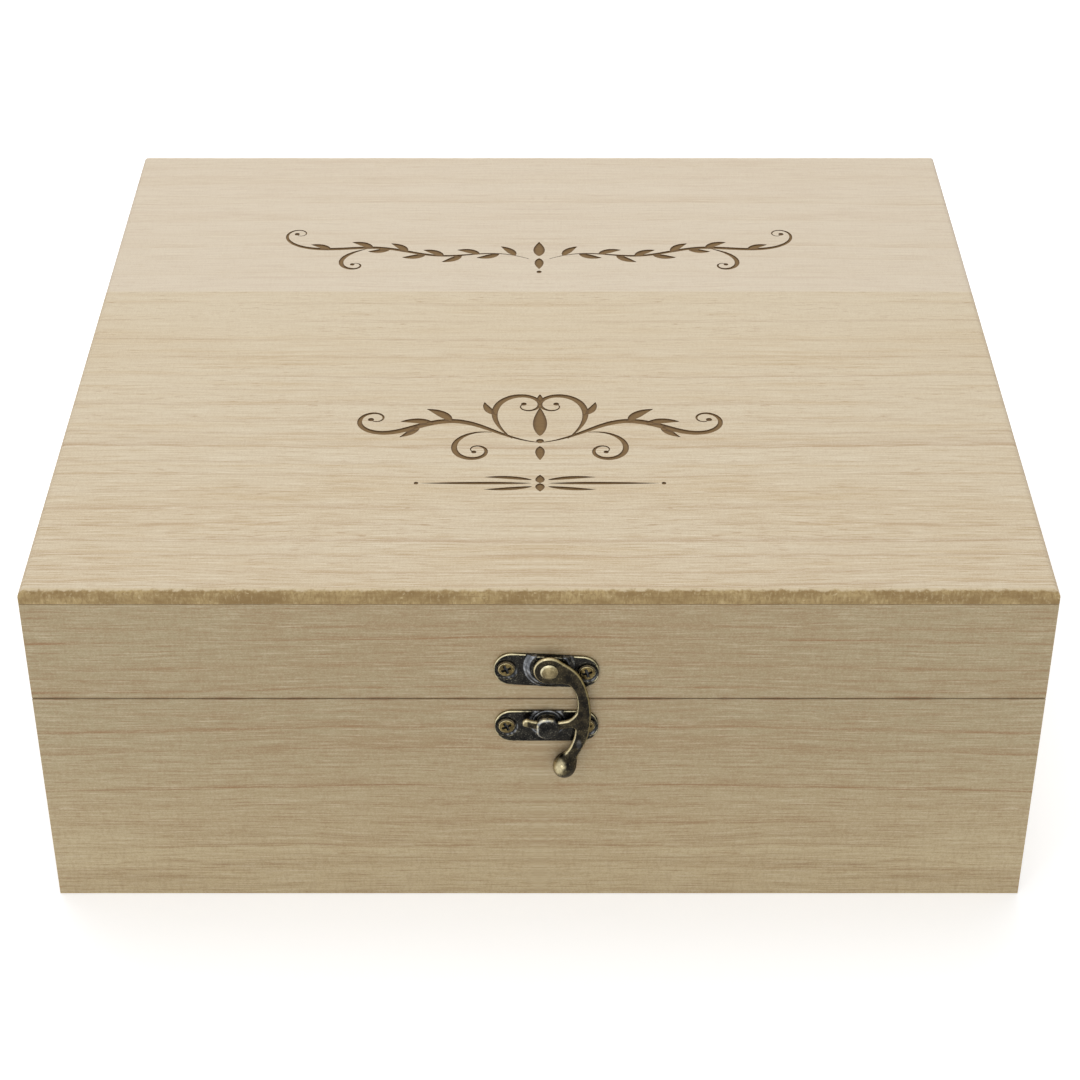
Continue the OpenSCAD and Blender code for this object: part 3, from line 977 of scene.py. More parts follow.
@dataclass
class Casting:
    """A solid given by distances in its mount's frame, in mm, and meshed on a fine grid."""

    step: ClassVar[float]

    def form(self, points: Points) -> np.ndarray:
        """Measure to the solid.

        Args:
            points: where to measure.

        Returns:
            The distances, negative inside.
        """
        raise NotImplementedError

    def extent(self) -> tuple[Corner, Corner]:
        """Return the lower and the upper corner of a box round the solid."""
        raise NotImplementedError

    def touch(self, points: Points, marks: dict[str, np.ndarray]) -> None:
        """Leave the masks as they are, unless a part has its own way.

        Args:
            points: the surface's vertices.
            marks: the masks to change.
        """

    def skin(self) -> tuple[Points, np.ndarray]:
        """Mesh the surface, one vertex for each grid cell that it crosses.

        Returns:
            The vertices and the four-sided faces.
        """
        low, high = (np.array(corner) for corner in self.extent())
        low = low - self.step
        counts = np.ceil((high + self.step - low) / self.step).astype(int) + 1
        axes = [low[axis] + self.step * np.arange(counts[axis]) for axis in range(3)]
        grid = np.stack(np.meshgrid(*axes, indexing="ij"), -1)
        values = self.form(grid)
        cells = counts - 1
        total = np.zeros((*cells, 3))
        hits = np.zeros(tuple(cells))
        crossings = []
        for axis in range(3):
            near = np.take(values, range(cells[axis]), axis)
            far = np.take(values, range(1, counts[axis]), axis)
            crossed = (near < 0) != (far < 0)
            share = np.where(crossed, near / np.where(crossed, near - far, 1.0), 0.0)
            place = np.take(grid, range(cells[axis]), axis).copy()
            place[..., axis] += share * self.step
            first, second = (axis + 1) % 3, (axis + 2) % 3
            for shift_1 in (0, 1):
                for shift_2 in (0, 1):
                    window = [slice(None)] * 3
                    window[first] = slice(shift_1, shift_1 + cells[first])
                    window[second] = slice(shift_2, shift_2 + cells[second])
                    here = crossed[tuple(window)]
                    total += place[tuple(window)] * here[..., None]
                    hits += here
            crossings.append((crossed, near < 0))
        active = hits > 0
        number = np.full(tuple(cells), -1)
        number[active] = np.arange(active.sum())
        faces = []
        for axis, (crossed, starts_inside) in enumerate(crossings):
            first, second = (axis + 1) % 3, (axis + 2) % 3
            spots = np.argwhere(crossed)
            inside = starts_inside[tuple(spots.T)]
            ring = []
            for shift_1, shift_2 in ((-1, -1), (0, -1), (0, 0), (-1, 0)):
                cell = spots.copy()
                cell[:, first] += shift_1
                cell[:, second] += shift_2
                ring.append(number[tuple(cell.T)])
            quads = np.stack(ring, 1)
            faces.append(np.where(inside[:, None], quads, quads[:, ::-1]))
        return self.settle(total[active] / hits[active][:, None]), np.concatenate(faces)

    def slope(self, points: Points, reach: float) -> Points:
        """Measure how the form slopes.

        Args:
            points: where to measure.
            reach: how far each way.

        Returns:
            The slope at each point.
        """
        steps = np.eye(3) * reach
        rises = [self.form(points + step) - self.form(points - step) for step in steps]
        return np.stack(rises, -1) / (2 * reach)

    def settle(self, points: Points) -> Points:
        """Move points onto the exact surface.

        Args:
            points: points near it.

        Returns:
            The points on it.
        """
        for _ in range(3):
            slope = self.slope(points, 0.01)
            size = np.maximum((slope**2).sum(-1), 0.05)
            move = self.form(points) / size
            points = points - np.clip(slope * move[:, None], -self.step / 2, self.step / 2)
        return points

    def marks(self, points: Points, reach: float = 0.25) -> dict[str, np.ndarray]:
        """Mark the edges, the hollows and the places that carry a painted sheen.

        Args:
            points: the surface's vertices.
            reach: the distance over which the surface's bend is taken, in mm.

        Returns:
            The masks, one number a vertex.
        """
        bend = -6.0 * self.form(points)
        for step in np.eye(3) * reach:
            bend = bend + self.form(points + step) + self.form(points - step)
        bend = bend / reach**2
        marks = {
            "edge": 1 - np.exp(-0.9 * np.maximum(bend, 0)),
            "hollow": np.clip(-bend * 0.6, 0, 1),
            "painted_sheen": np.zeros(len(points)),
        }
        self.touch(points, marks)
        return marks

    def add(self, piece: Piece, finish: Finish, *mounts: Mount) -> bpy.types.Object:
        """Make the casting's piece, with a copy at each mount.

        Args:
            piece: the piece's names.
            finish: what it is made of.
            mounts: where the copies go.

        Returns:
            The new object.
        """
        points, faces = self.skin()
        slope = self.slope(points, 0.02)
        size = np.linalg.norm(slope, axis=1)[:, None]
        normals = np.where(size > 0.05, slope / np.maximum(size, 0.05), [0.0, 0.0, 1.0])
        marks = self.marks(points)
        count = len(points)
        placed = np.concatenate([mount.out(points) for mount in mounts])
        origin = [mount.out(np.zeros((1, 3))) for mount in mounts]
        turned = np.concatenate(
            [(mount.out(normals) - start) / MM for mount, start in zip(mounts, origin)]
        )
        copies = len(mounts)
        every = np.concatenate([faces + count * copy for copy in range(copies)])
        repeated = {name: np.tile(values, copies) for name, values in marks.items()}
        made = piece.add(placed, every, [finish], repeated)
        made.data.polygons.foreach_set("use_smooth", [True] * len(made.data.polygons))
        layer = made.data.attributes.new("custom_normal", "FLOAT_VECTOR", "POINT")
        layer.data.foreach_set("vector", turned.astype(np.float32).ravel())
        return made


# Boards


@dataclass
class Carcass:
    """The glued-up base, the lid's frame and the floor, which keep their CAD shapes."""

    front: Finish
    back: Finish
    sides: Finish
    floor: Finish
    arris: float = 0.18

    def finishes(self) -> dict[str, Finish]:
        """Pair the boards with their wood.

        Returns:
            The finish of each CAD node.
        """
        boards = {"front": self.front, "back": self.back, "left": self.sides, "right": self.sides}
        named = {"base_bottom_panel": self.floor}
        for part in ("base", "lid"):
            named |= {f"{part}_{side}_board": wood for side, wood in boards.items()}
        return named

    def dress(self, nodes: Mapping[str, bpy.types.Object]) -> None:
        """Ease the boards' edges and give them their wood.

        Args:
            nodes: the CAD nodes by name.
        """
        for name, finish in self.finishes().items():
            ease_edges(nodes[name], self.arris)
            paint(nodes[name], finish)


def ease_edges(node: bpy.types.Object, width: float) -> None:
    """Round a CAD node's sharp edges.

    Args:
        node: the CAD node.
        width: how far the rounding reaches, in mm.
    """
    bevel = node.modifiers.new("eased edges", "BEVEL")
    bevel.width = width * MM
    bevel.segments = 2
    bevel.limit_method = "ANGLE"
    bevel.angle_limit = math.radians(38)
    bevel.harden_normals = True


def paint(node: bpy.types.Object, finish: Finish) -> None:
    """Give a CAD node its material.

    Args:
        node: the CAD node.
        finish: what it is made of.
    """
    node.data.materials.clear()
    node.data.materials.append(finish.material())
    LOG.info("%s: finished as %s", node.name, finish.name)


# Ornament


def spine(
    start: Sequence[float], heading: float, length: float, bends: Sequence[tuple[float, float]]
) -> tuple[Points, np.ndarray]:
    """Run a pen line whose bend changes evenly between its knots.

    Args:
        start: where the line starts, in mm.
        heading: its first direction, in degrees.
        length: its length.
        bends: knots of the share of the length and the bend there, in turns of 1/mm.

    Returns:
        The points along the line and the direction at each.
    """
    count = max(10, round(length / 0.5))
    run = np.linspace(0.0, length, count + 1)
    shares, bent = zip(*bends)
    bend = np.interp(run / length, shares, bent)
    step = length / count
    turned = np.concatenate([[0.0], np.cumsum((bend[1:] + bend[:-1]) / 2 * step)])
    angles = math.radians(heading) + turned
    middle = (angles[1:] + angles[:-1]) / 2
    moves = np.stack([np.cos(middle), np.sin(middle)], 1) * step
    return np.concatenate([[start], np.array(start) + np.cumsum(moves, 0)]), angles


@dataclass(frozen=True)
class Leaf:
    """A pointed leaf, growing at a share of a stroke or from a place, in mm and degrees."""

    at: float | tuple[float, float]
    angle: float
    length: float
    width: float
    curl: float = 0.0

    def outline(self, root: Sequence[float], heading: float) -> tuple[Points, Points]:
        """Draw the leaf.

        Args:
            root: where it grows from.
            heading: the direction there, in radians.

        Returns:
            Its outline and its midrib.
        """
        direction = math.degrees(heading) + self.angle
        points, angles = spine(root, direction, self.length, ((0, self.curl), (1, self.curl)))
        share = np.linspace(0, 1, len(points))
        half = self.width / 2 * np.sin(math.pi * share**0.8) ** 0.9
        sides = np.stack([-np.sin(angles), np.cos(angles)], 1) * half[:, None]
        left = (points + sides)[1:-1]
        right = (points - sides)[-2:0:-1]
        return np.concatenate([points[:1], left, points[-1:], right]), points[2:-2]


@dataclass(frozen=True)
class Dot:
    """A round dot, in mm."""

    at: tuple[float, float]
    radius: float

    def outline(self) -> tuple[Points, Points]:
        """Draw the dot.

        Returns:
            Its outline and its middle.
        """
        turn = np.arange(20) / 20 * 2 * math.pi
        ring = np.stack([np.cos(turn), np.sin(turn)], 1) * self.radius
        return ring + np.array(self.at), np.array([self.at])


@dataclass(frozen=True)
class Stroke:
    """A swelling pen stroke, which may end in a dot and carry leaves, in mm and degrees."""

    start: tuple[float, float]
    heading: float
    length: float
    bends: tuple[tuple[float, float], ...]
    width: float
    swell: float = 0.45
    dot: float = 0.0
    leaves: tuple[Leaf, ...] = ()

    def outlines(self) -> list[tuple[Points, Points]]:
        """Draw the stroke.

        Returns:
            An outline and a middle line for the stroke, its dot and each leaf.
        """
        points, angles = spine(self.start, self.heading, self.length, self.bends)
        share = np.linspace(0, 1, len(points))
        grown = np.interp(share, [0, self.swell, 1], [0, 1, 0])
        half = self.width / 2 * (0.14 + 0.86 * np.sin(grown * math.pi / 2) ** 1.3)
        sides = np.stack([-np.sin(angles), np.cos(angles)], 1) * half[:, None]
        drawn = [(np.concatenate([points + sides, (points - sides)[::-1]]), points[1:-1])]
        if self.dot:
            drawn.append(Dot(tuple(points[-1]), self.dot).outline())
        for leaf in self.leaves:
            knot = round(leaf.at * (len(points) - 1))
            drawn.append(leaf.outline(points[knot], angles[knot]))
        return drawn


@dataclass(frozen=True)
class Ornament:
    """A pattern drawn for one half and mirrored, with its middle pieces."""

    x: float
    y: float
    half: tuple[Stroke | Leaf | Dot, ...]
    middle: tuple[Leaf | Dot, ...]

    @staticmethod
    def draw(mark: Stroke | Leaf | Dot) -> list[tuple[Points, Points]]:
        """Draw one mark.

        Args:
            mark: a stroke, a leaf or a dot.

        Returns:
            Its outlines, each with its middle line.
        """
        if isinstance(mark, Stroke):
            return mark.outlines()
        if isinstance(mark, Leaf):
            return [mark.outline(mark.at, 0.0)]
        return [mark.outline()]

    def outlines(self) -> list[tuple[Points, Points]]:
        """Draw the whole pattern in the box's frame, in mm.

        Returns:
            Every outline with its middle line.
        """
        flip = np.array([-1.0, 1.0])
        place = np.array([self.x, self.y])
        drawn = []
        for mark in self.half:
            for outline, middle in self.draw(mark):
                drawn.append((outline + place, middle + place))
                drawn.append(((outline * flip)[::-1] + place, middle * flip + place))
        for mark in self.middle:
            drawn += [(outline + place, middle + place) for outline, middle in self.draw(mark)]
        return drawn


SCROLL = Ornament(
    0.3,
    -48.3,
    (
        Stroke(
            (0.6, -9.1), 10, 77,
            (
                (0, 0.055), (0.20, 0.0), (0.36, -0.085), (0.52, -0.005), (0.66, 0.115),
                (0.84, 0.22), (1, 0.60),
            ),
            2.5, 0.46, 0.9,
            (
                Leaf(0.37, 62, 10.5, 3.2, -0.07), Leaf(0.44, 40, 10.0, 2.8, -0.06),
                Leaf(0.50, -38, 8.5, 2.5, 0.07),
            ),
        ),
        Stroke(
            (8.2, -7.0), 54, 48.5,
            ((0, 0.02), (0.35, 0.07), (0.68, 0.185), (0.86, 0.30), (1, 0.62)),
            2.1, 0.45, 0.85, (Leaf(0.30, -40, 8.0, 2.4, 0.08),),
        ),
        Stroke(
            (14.2, -3.6), 12, 40, ((0, -0.10), (0.4, -0.13), (0.8, -0.30), (1, -0.70)),
            1.8, 0.45, 0.75,
        ),
    ),
    (
        Leaf((0, -5.6), 90, 16, 4.2), Leaf((0, -11.2), -90, 7.6, 2.8), Dot((0, -8.4), 1.15),
        Leaf((0, 12.8), 90, 5.2, 1.9),
    ),
)
VINE = Ornament(
    0.0,
    57.0,
    (
        Stroke(
            (3.4, -1.2), 30, 102,
            (
                (0, -0.02), (0.10, -0.057), (0.20, 0.0), (0.30, 0.050), (0.40, 0.0), (0.50, -0.045),
                (0.60, 0.0), (0.70, 0.042), (0.80, 0.10), (0.87, 0.20), (0.94, 0.42), (1, 0.80),
            ),
            1.7, 0.62, 0.85,
            (
                Leaf(0.05, 50, 8.2, 2.8, -0.08), Leaf(0.105, -46, 8.2, 2.8, 0.08),
                Leaf(0.165, 46, 8.2, 2.8, -0.08), Leaf(0.225, -46, 8.2, 2.8, 0.08),
                Leaf(0.285, 48, 8.2, 2.8, -0.08), Leaf(0.345, -48, 8.2, 2.8, 0.08),
                Leaf(0.405, 44, 8.2, 2.8, -0.08), Leaf(0.465, -46, 7.8, 2.6, 0.08),
                Leaf(0.525, 46, 8.2, 2.8, -0.08), Leaf(0.66, 44, 7.6, 2.5, -0.08),
            ),
        ),
        Stroke(
            (56.6, 6.0), -24, 28, ((0, -0.02), (0.35, -0.11), (0.7, -0.27), (1, -0.80)),
            1.6, 0.42, 0.75,
        ),
    ),
    (Leaf((0, 0.6), 90, 10.0, 3.8), Leaf((0, -0.8), -90, 7.5, 3.0), Dot((0, -10.2), 0.85)),
)
RULE = Ornament(
    0.3,
    -79.2,
    (
        Leaf((2.4, 0), 0, 32, 1.3), Leaf((2.2, 1.7), 14, 14, 1.6, -0.02),
        Leaf((2.2, -1.7), -14, 14, 1.6, 0.02), Dot((35.4, 0), 0.65),
    ),
    (Leaf((0, 0), 90, 4.4, 2.7), Leaf((0, 0), -90, 4.4, 2.7)),
)


@dataclass
class CarvedBoard:
    """One board of the lid's top, with rounded outer edges and engraved lines."""

    piece: Piece
    near: float
    far: float
    half_width: float
    bottom: float
    top: float
    rounding: float
    joint_is_far: bool
    ornaments: Sequence[Ornament]
    depth: float = 0.32
    spacing: float = 2.0
    ruffle: float = 0.18
    steps: int = 5

    def loop(self, inset: float) -> Points:
        """Run round the board, pulled in by an inset except at the joint.

        Args:
            inset: how far in, in mm.

        Returns:
            The points, in the order that faces up.
        """
        half = self.half_width - inset
        near = self.near + (inset if self.joint_is_far else 0.0)
        far = self.far - (0.0 if self.joint_is_far else inset)
        wide = round(2 * self.half_width / self.spacing)
        deep = round((self.far - self.near) / self.spacing)
        across = np.linspace(-half, half, wide + 1)
        back = np.linspace(near, far, deep + 1)
        sides = [
            np.stack([across[:-1], np.full(wide, near)], 1),
            np.stack([np.full(deep, half), back[:-1]], 1),
            np.stack([across[:0:-1], np.full(wide, far)], 1),
            np.stack([np.full(deep, -half), back[:0:-1]], 1),
        ]
        return np.concatenate(sides)

    def rough(self, loop: Points) -> Points:
        """Move a loop's points by the small unevenness of a hand-eased edge.

        Args:
            loop: the loop, in mm.

        Returns:
            The uneven loop.
        """
        run = loop[:, 0] * 0.31 + loop[:, 1] * 0.47
        waves = np.sin(run * 2.1 + 1.0) + np.sin(run * 5.3 + 2.0) + np.sin(run * 9.7 + 0.7)
        pull = self.ruffle * (0.5 + waves / 6)
        joint = self.far if self.joint_is_far else self.near
        free = (np.abs(loop[:, 1] - joint) > 0.01)[:, None]
        middle = np.array([0.0, (self.near + self.far) / 2])
        size = np.array([self.half_width, (self.far - self.near) / 2])
        share = np.abs(loop - middle) / size
        toward = np.sign(middle - loop) * (share > 0.97)
        return loop + toward * pull[:, None] * free

    def rows(self) -> list[tuple[Points, float]]:
        """Stack loops from the underside up to the edge of the flat top.

        Returns:
            The loops with their heights.
        """
        rows = [(self.loop(0.25), self.bottom), (self.loop(0.0), self.bottom + 0.25)]
        for turn in np.linspace(0, math.pi / 2, self.steps + 1):
            inset = self.rounding * (1 - math.cos(turn))
            height = self.top - self.rounding * (1 - math.sin(turn))
            loop = self.loop(inset)
            if turn > 0.5:
                loop = self.rough(loop)
            rows.append((loop, height))
        return rows

    def build(self, finishes: Sequence[Finish]) -> bpy.types.Object:
        """Make the board.

        Args:
            finishes: the finishes of the face, the rounded edge and the engraving.

        Returns:
            The new object.
        """
        rows = self.rows()
        size = len(rows[0][0])
        points = [np.column_stack([loop, np.full(size, height)]) for loop, height in rows]
        faces = []
        kinds = []
        joint = self.far if self.joint_is_far else self.near
        for row in range(len(rows) - 1):
            for spot in range(size):
                ahead = (spot + 1) % size
                low, high = row * size, (row + 1) * size
                faces.append((low + spot, low + ahead, high + ahead, high + spot))
                ends = rows[row][0][[spot, ahead]]
                at_joint = np.all(np.abs(ends[:, 1] - joint) < 0.01)
                along = abs(ends[0, 0] - ends[1, 0]) > abs(ends[0, 1] - ends[1, 1])
                kinds.append(Zone.EDGE if along and row and not at_joint else Zone.FACE)
        faces.append(tuple(range(size))[::-1])
        kinds.append(Zone.FACE)
        top = self.engraved_top(rows[-1][0], (len(rows) - 1) * size, len(rows) * size)
        points.append(top.points)
        faces += top.faces
        kinds += top.kinds
        every = np.concatenate(points)
        rim = np.zeros(len(every))
        rim[-len(top.rims):] = top.rims
        return self.piece.add(every * MM, faces, finishes, {"rim": rim}, kinds)

    def engraved_top(self, loop: Points, first: int, free: int) -> "EngravedTop":
        """Fill the top round the engraved lines, and sink the lines.

        Args:
            loop: the edge of the flat top.
            first: the number of the loop's first vertex.
            free: the first number for new vertices.

        Returns:
            The new vertices, faces, zones and rim marks.
        """
        flat = [Vector(point) for point in loop]
        borders = [list(range(len(flat)))]
        ribs = []
        rib_points = set()
        for ornament in self.ornaments:
            for outline, middle in ornament.outlines():
                ahead = np.roll(outline, -1, 0)
                area = (outline[:, 0] * ahead[:, 1] - outline[:, 1] * ahead[:, 0]).sum()
                order = list(range(len(flat), len(flat) + len(outline)))
                borders.append(order if area > 0 else order[::-1])
                flat += [Vector(point) for point in outline]
                ribs += [(len(flat) + step, len(flat) + step + 1) for step in range(len(middle) - 1)]
                rib_points |= set(range(len(flat), len(flat) + len(middle)))
                flat += [Vector(point) for point in middle]
        found, _, cells, sources, _, owners = delaunay_2d_cdt(flat, ribs, borders, 1, 1e-5)
        sunk = [any(owner > 0 for owner in owned) for owned in owners]
        return EngravedTop.sink(
            np.array([tuple(point) for point in found]), cells, sunk, sources, rib_points,
            len(loop), first, free, self.top, self.depth,
        )


@dataclass
class EngravedTop:
    """The flat face of a lid board with its sunk lines."""

    points: Points
    faces: list[tuple[int, ...]]
    kinds: list[Zone]
    rims: np.ndarray

    @classmethod
    def sink(
        cls,
        flat: Points,
        cells: Sequence[Sequence[int]],
        sunk: Sequence[bool],
        sources: Sequence[Sequence[int]],
        rib_points: set[int],
        loop_size: int,
        first: int,
        free: int,
        top: float,
        depth: float,
    ) -> "EngravedTop":
        """Lower the cells of the engraved lines and wall them in.

        Args:
            flat: the points of the filled top.
            cells: its triangles.
            sunk: whether each triangle lies in a line.
            sources: which drawn points each point comes from.
            rib_points: the drawn points on the lines' middles.
            loop_size: how many points the board's edge has.
            first: the number of the edge's first vertex.
            free: the first number for new vertices.
            top: the height of the top.
            depth: the depth of the lines.

        Returns:
            The finished face.
        """
        on_edge = {}
        is_rib = np.zeros(len(flat), bool)
        for spot, origins in enumerate(sources):
            for origin in origins:
                if origin < loop_size:
                    on_edge[spot] = first + origin
                if origin in rib_points:
                    is_rib[spot] = True
        walls = cls.borders(cells, sunk)
        border = {spot for edge in walls for spot in edge}
        points, rims, upper, lower = [], [], {}, {}

        def number(known: dict[int, int], spot: int, height: float, rim: float) -> int:
            """Number a vertex, and add it at the first call.

            Args:
                known: the numbers given so far.
                spot: the vertex's point.
                height: its height.
                rim: its rim mark.

            Returns:
                Its number.
            """
            if spot not in known:
                known[spot] = free + len(points)
                points.append((*flat[spot], height))
                rims.append(rim)
            return known[spot]

        upper.update(on_edge)
        faces, kinds = [], []
        for cell, low in zip(cells, sunk):
            if low:
                ring = [
                    number(
                        lower, spot,
                        top - depth * (1.35 if is_rib[spot] and spot not in border else 1.0),
                        0.0 if is_rib[spot] and spot not in border else 1.0,
                    )
                    for spot in cell
                ]
            else:
                ring = [number(upper, spot, top, 0.0) for spot in cell]
            faces.append(tuple(ring))
            kinds.append(Zone.ENGRAVED if low else Zone.FACE)
        wall_top: dict[int, int] = {}
        for start, end in walls:
            low_start, low_end = lower[start], lower[end]
            high_start = number(wall_top, start, top, 1.0)
            high_end = number(wall_top, end, top, 1.0)
            faces.append((low_end, low_start, high_start, high_end))
            kinds.append(Zone.ENGRAVED)
        return cls(np.array(points), faces, kinds, np.array(rims))

    @staticmethod
    def borders(cells: Sequence[Sequence[int]], sunk: Sequence[bool]) -> list[tuple[int, int]]:
        """Find the edges between sunk and flat triangles.

        Args:
            cells: the triangles.
            sunk: whether each lies in a line.

        Returns:
            The edges, each in its sunk triangle's direction.
        """
        high = set()
        for cell, low in zip(cells, sunk):
            if not low:
                high |= {(cell[at], cell[(at + 1) % len(cell)]) for at in range(len(cell))}
        edges = []
        for cell, low in zip(cells, sunk):
            if low:
                for at in range(len(cell)):
                    edge = (cell[at], cell[(at + 1) % len(cell)])
                    if edge[::-1] in high:
                        edges.append(edge)
        return edges


@dataclass
class LidTop:
    """The two edge-glued boards of the lid's top."""

    face: Finish
    back_face: Finish
    band: Finish
    engraving: Finish
    half_width: float = 140.0
    near: float = -132.5
    joint: float = 33.5
    far: float = 132.5
    bottom: float = 104.3
    top: float = 108.5
    rounding: float = 1.7

    def build(self) -> None:
        """Make both boards."""
        shared = (self.half_width, self.bottom, self.top, self.rounding)
        front = Piece("lid_top_front_carved", Body.LID, Slot.LID_WOOD, ("lid_top_front_board",))
        CarvedBoard(front, self.near, self.joint, *shared, True, (SCROLL, RULE)).build(
            [self.face, self.band, self.engraving]
        )
        back = Piece("lid_top_back_carved", Body.LID, Slot.LID_WOOD, ("lid_top_back_board",))
        CarvedBoard(back, self.joint, self.far, *shared, False, (VINE,)).build(
            [self.back_face, self.band, self.engraving]
        )


# Metal parts


@dataclass
class Screw(Casting):
    """A round-headed wood screw with a cross recess, in mm."""

    step = 0.13
    plate: float = 1.0
    head: float = 2.15
    rise: float = 0.45
    shank: float = 0.9
    reach: float = 7.0
    slot: float = 0.74
    slot_length: float = 1.5
    slot_depth: float = 0.85

    def touch(self, points: Points, marks: dict[str, np.ndarray]) -> None:
        """Blacken the cross recess.

        Args:
            points: the surface's vertices.
            marks: the masks to change.
        """
        radius = np.hypot(points[:, 0], points[:, 1])
        dome = self.plate + self.rise - 0.11 * radius**2 / self.head
        sunk = np.clip((dome - 0.05 - points[:, 2]) / 0.12, 0, 1) * (radius < self.slot_length + 0.25)
        marks["hollow"] = np.maximum(sunk, marks["hollow"])
        marks["edge"] = marks["edge"] * (1 - sunk) * np.clip((radius - 1.2) / 0.8, 0.25, 1)

    def form(self, points: Points) -> np.ndarray:
        """Measure to the screw.

        Args:
            points: where to measure.

        Returns:
            The distances, negative inside.
        """
        radius = np.hypot(points[..., 0], points[..., 1])
        out = points[..., 2]
        dome = self.plate + self.rise - 0.11 * radius**2 / self.head
        head = np.maximum(radius - self.head, np.maximum(out - dome, 0.25 - out))
        cone = np.maximum(head, (radius - self.shank - (out - 0.2) * 1.56) * 0.54)
        head = np.where(out > self.plate, head, cone)
        taper = self.shank * np.clip((out + self.reach) / 2.2, 0, 1)
        shank = np.maximum(radius - taper, np.maximum(out - self.plate, -self.reach - out))
        body = melt(head, shank, 0.12)
        sink = (self.plate + self.rise - out) / self.slot_depth
        width = self.slot / 2 * (1.15 - 0.45 * sink)
        length = self.slot_length * (1.05 - 0.40 * sink)
        floor = self.plate + self.rise - self.slot_depth
        across = np.abs(points[..., :2])
        bars = [
            np.maximum(across[..., 0] - length, across[..., 1] - width),
            np.maximum(across[..., 1] - length, across[..., 0] - width),
            (across[..., 0] + across[..., 1]) * 0.707 - self.slot * 0.72,
        ]
        cross = np.maximum(np.minimum.reduce(bars), floor - out)
        return carve(body, cross, 0.12)

    def extent(self) -> tuple[Corner, Corner]:
        """Return the corners of a box round the screw."""
        span = self.head + 0.15
        return (-span, -span, -self.reach - 0.1), (span, span, self.plate + self.rise + 0.1)


@dataclass
class ClaspPlate(Casting):
    """A dished backing plate with a raised round seat, in mm."""

    step = 0.16
    width: float
    height: float
    corner: float
    thick: float
    screws: float
    seat_at: tuple[float, float]
    seat_foot: float
    seat_head: float
    seat_rise: float
    hole: float
    dish: float = 3.55
    dish_depth: float = 0.42
    screw_hole: float = 2.28

    def form(self, points: Points) -> np.ndarray:
        """Measure to the plate.

        Args:
            points: where to measure.

        Returns:
            The distances, negative inside.
        """
        outline = rounded_box(points, self.width, self.height, self.corner)
        out = points[..., 2]
        plate = slab(outline, out, 0.0, self.thick, 0.32)
        radius = np.hypot(points[..., 0] - self.seat_at[0], points[..., 1] - self.seat_at[1])
        share = np.clip((self.seat_foot - radius) / (self.seat_foot - self.seat_head), 0, 1)
        top = self.thick + self.seat_rise * share * share * (3 - 2 * share)
        seat = slab(outline, out, 0.0, self.thick + self.seat_rise, 0.32)
        seat = np.maximum(seat, (out - top) * 0.85)
        body = melt(plate, np.maximum(seat, radius - self.seat_foot), 0.05)
        for side in (-1, 1):
            reach = np.hypot(points[..., 0] - side * self.screws / 2, points[..., 1])
            share = np.clip((self.dish - reach) / 1.15, 0, 1)
            floor = self.thick - self.dish_depth * share * share * (3 - 2 * share)
            body = np.maximum(body, np.where(reach < self.dish, (out - floor) * 0.9, -9.0))
            body = np.maximum(body, self.screw_hole - reach)
        return np.maximum(body, self.hole - radius)

    def touch(self, points: Points, marks: dict[str, np.ndarray]) -> None:
        """Paint a sheen, a painted reflection, on the seat's slope and, less, on the screws' dishes.

        Args:
            points: the surface's vertices.
            marks: the masks to change.
        """
        radius = np.hypot(points[:, 0] - self.seat_at[0], points[:, 1] - self.seat_at[1])
        painted_sheen = np.clip((self.seat_foot + 0.2 - radius) / 0.5, 0, 1)
        painted_sheen = painted_sheen * np.clip((radius - self.seat_head + 0.25) / 0.3, 0, 1)
        for side in (-1, 1):
            reach = np.hypot(points[:, 0] - side * self.screws / 2, points[:, 1])
            painted_sheen = np.maximum(painted_sheen, 0.5 * np.clip((self.dish - reach) / 0.4, 0, 1))
        painted_sheen = painted_sheen * np.clip((points[:, 2] - 0.5) / 0.2, 0, 1)
        # Painted highlights: the sheen on the seat's slope runs in rings.
        ring = 0.72 + 0.28 * np.cos((radius - self.seat_head - 0.5) * 5.2)
        marks["painted_sheen"] = painted_sheen * ring
        ends = np.interp(np.abs(points[:, 0]), (4.0, 10.5), (0.55, 1.0))
        marks["edge"] = marks["edge"] * (1 - 0.8 * painted_sheen) * ends
        marks["hollow"] = marks["hollow"] * (1 - painted_sheen)

    def extent(self) -> tuple[Corner, Corner]:
        """Return the corners of a box round the plate."""
        right, up = self.width / 2, self.height / 2
        return (-right, -up, 0.0), (right, up, self.thick + self.seat_rise)


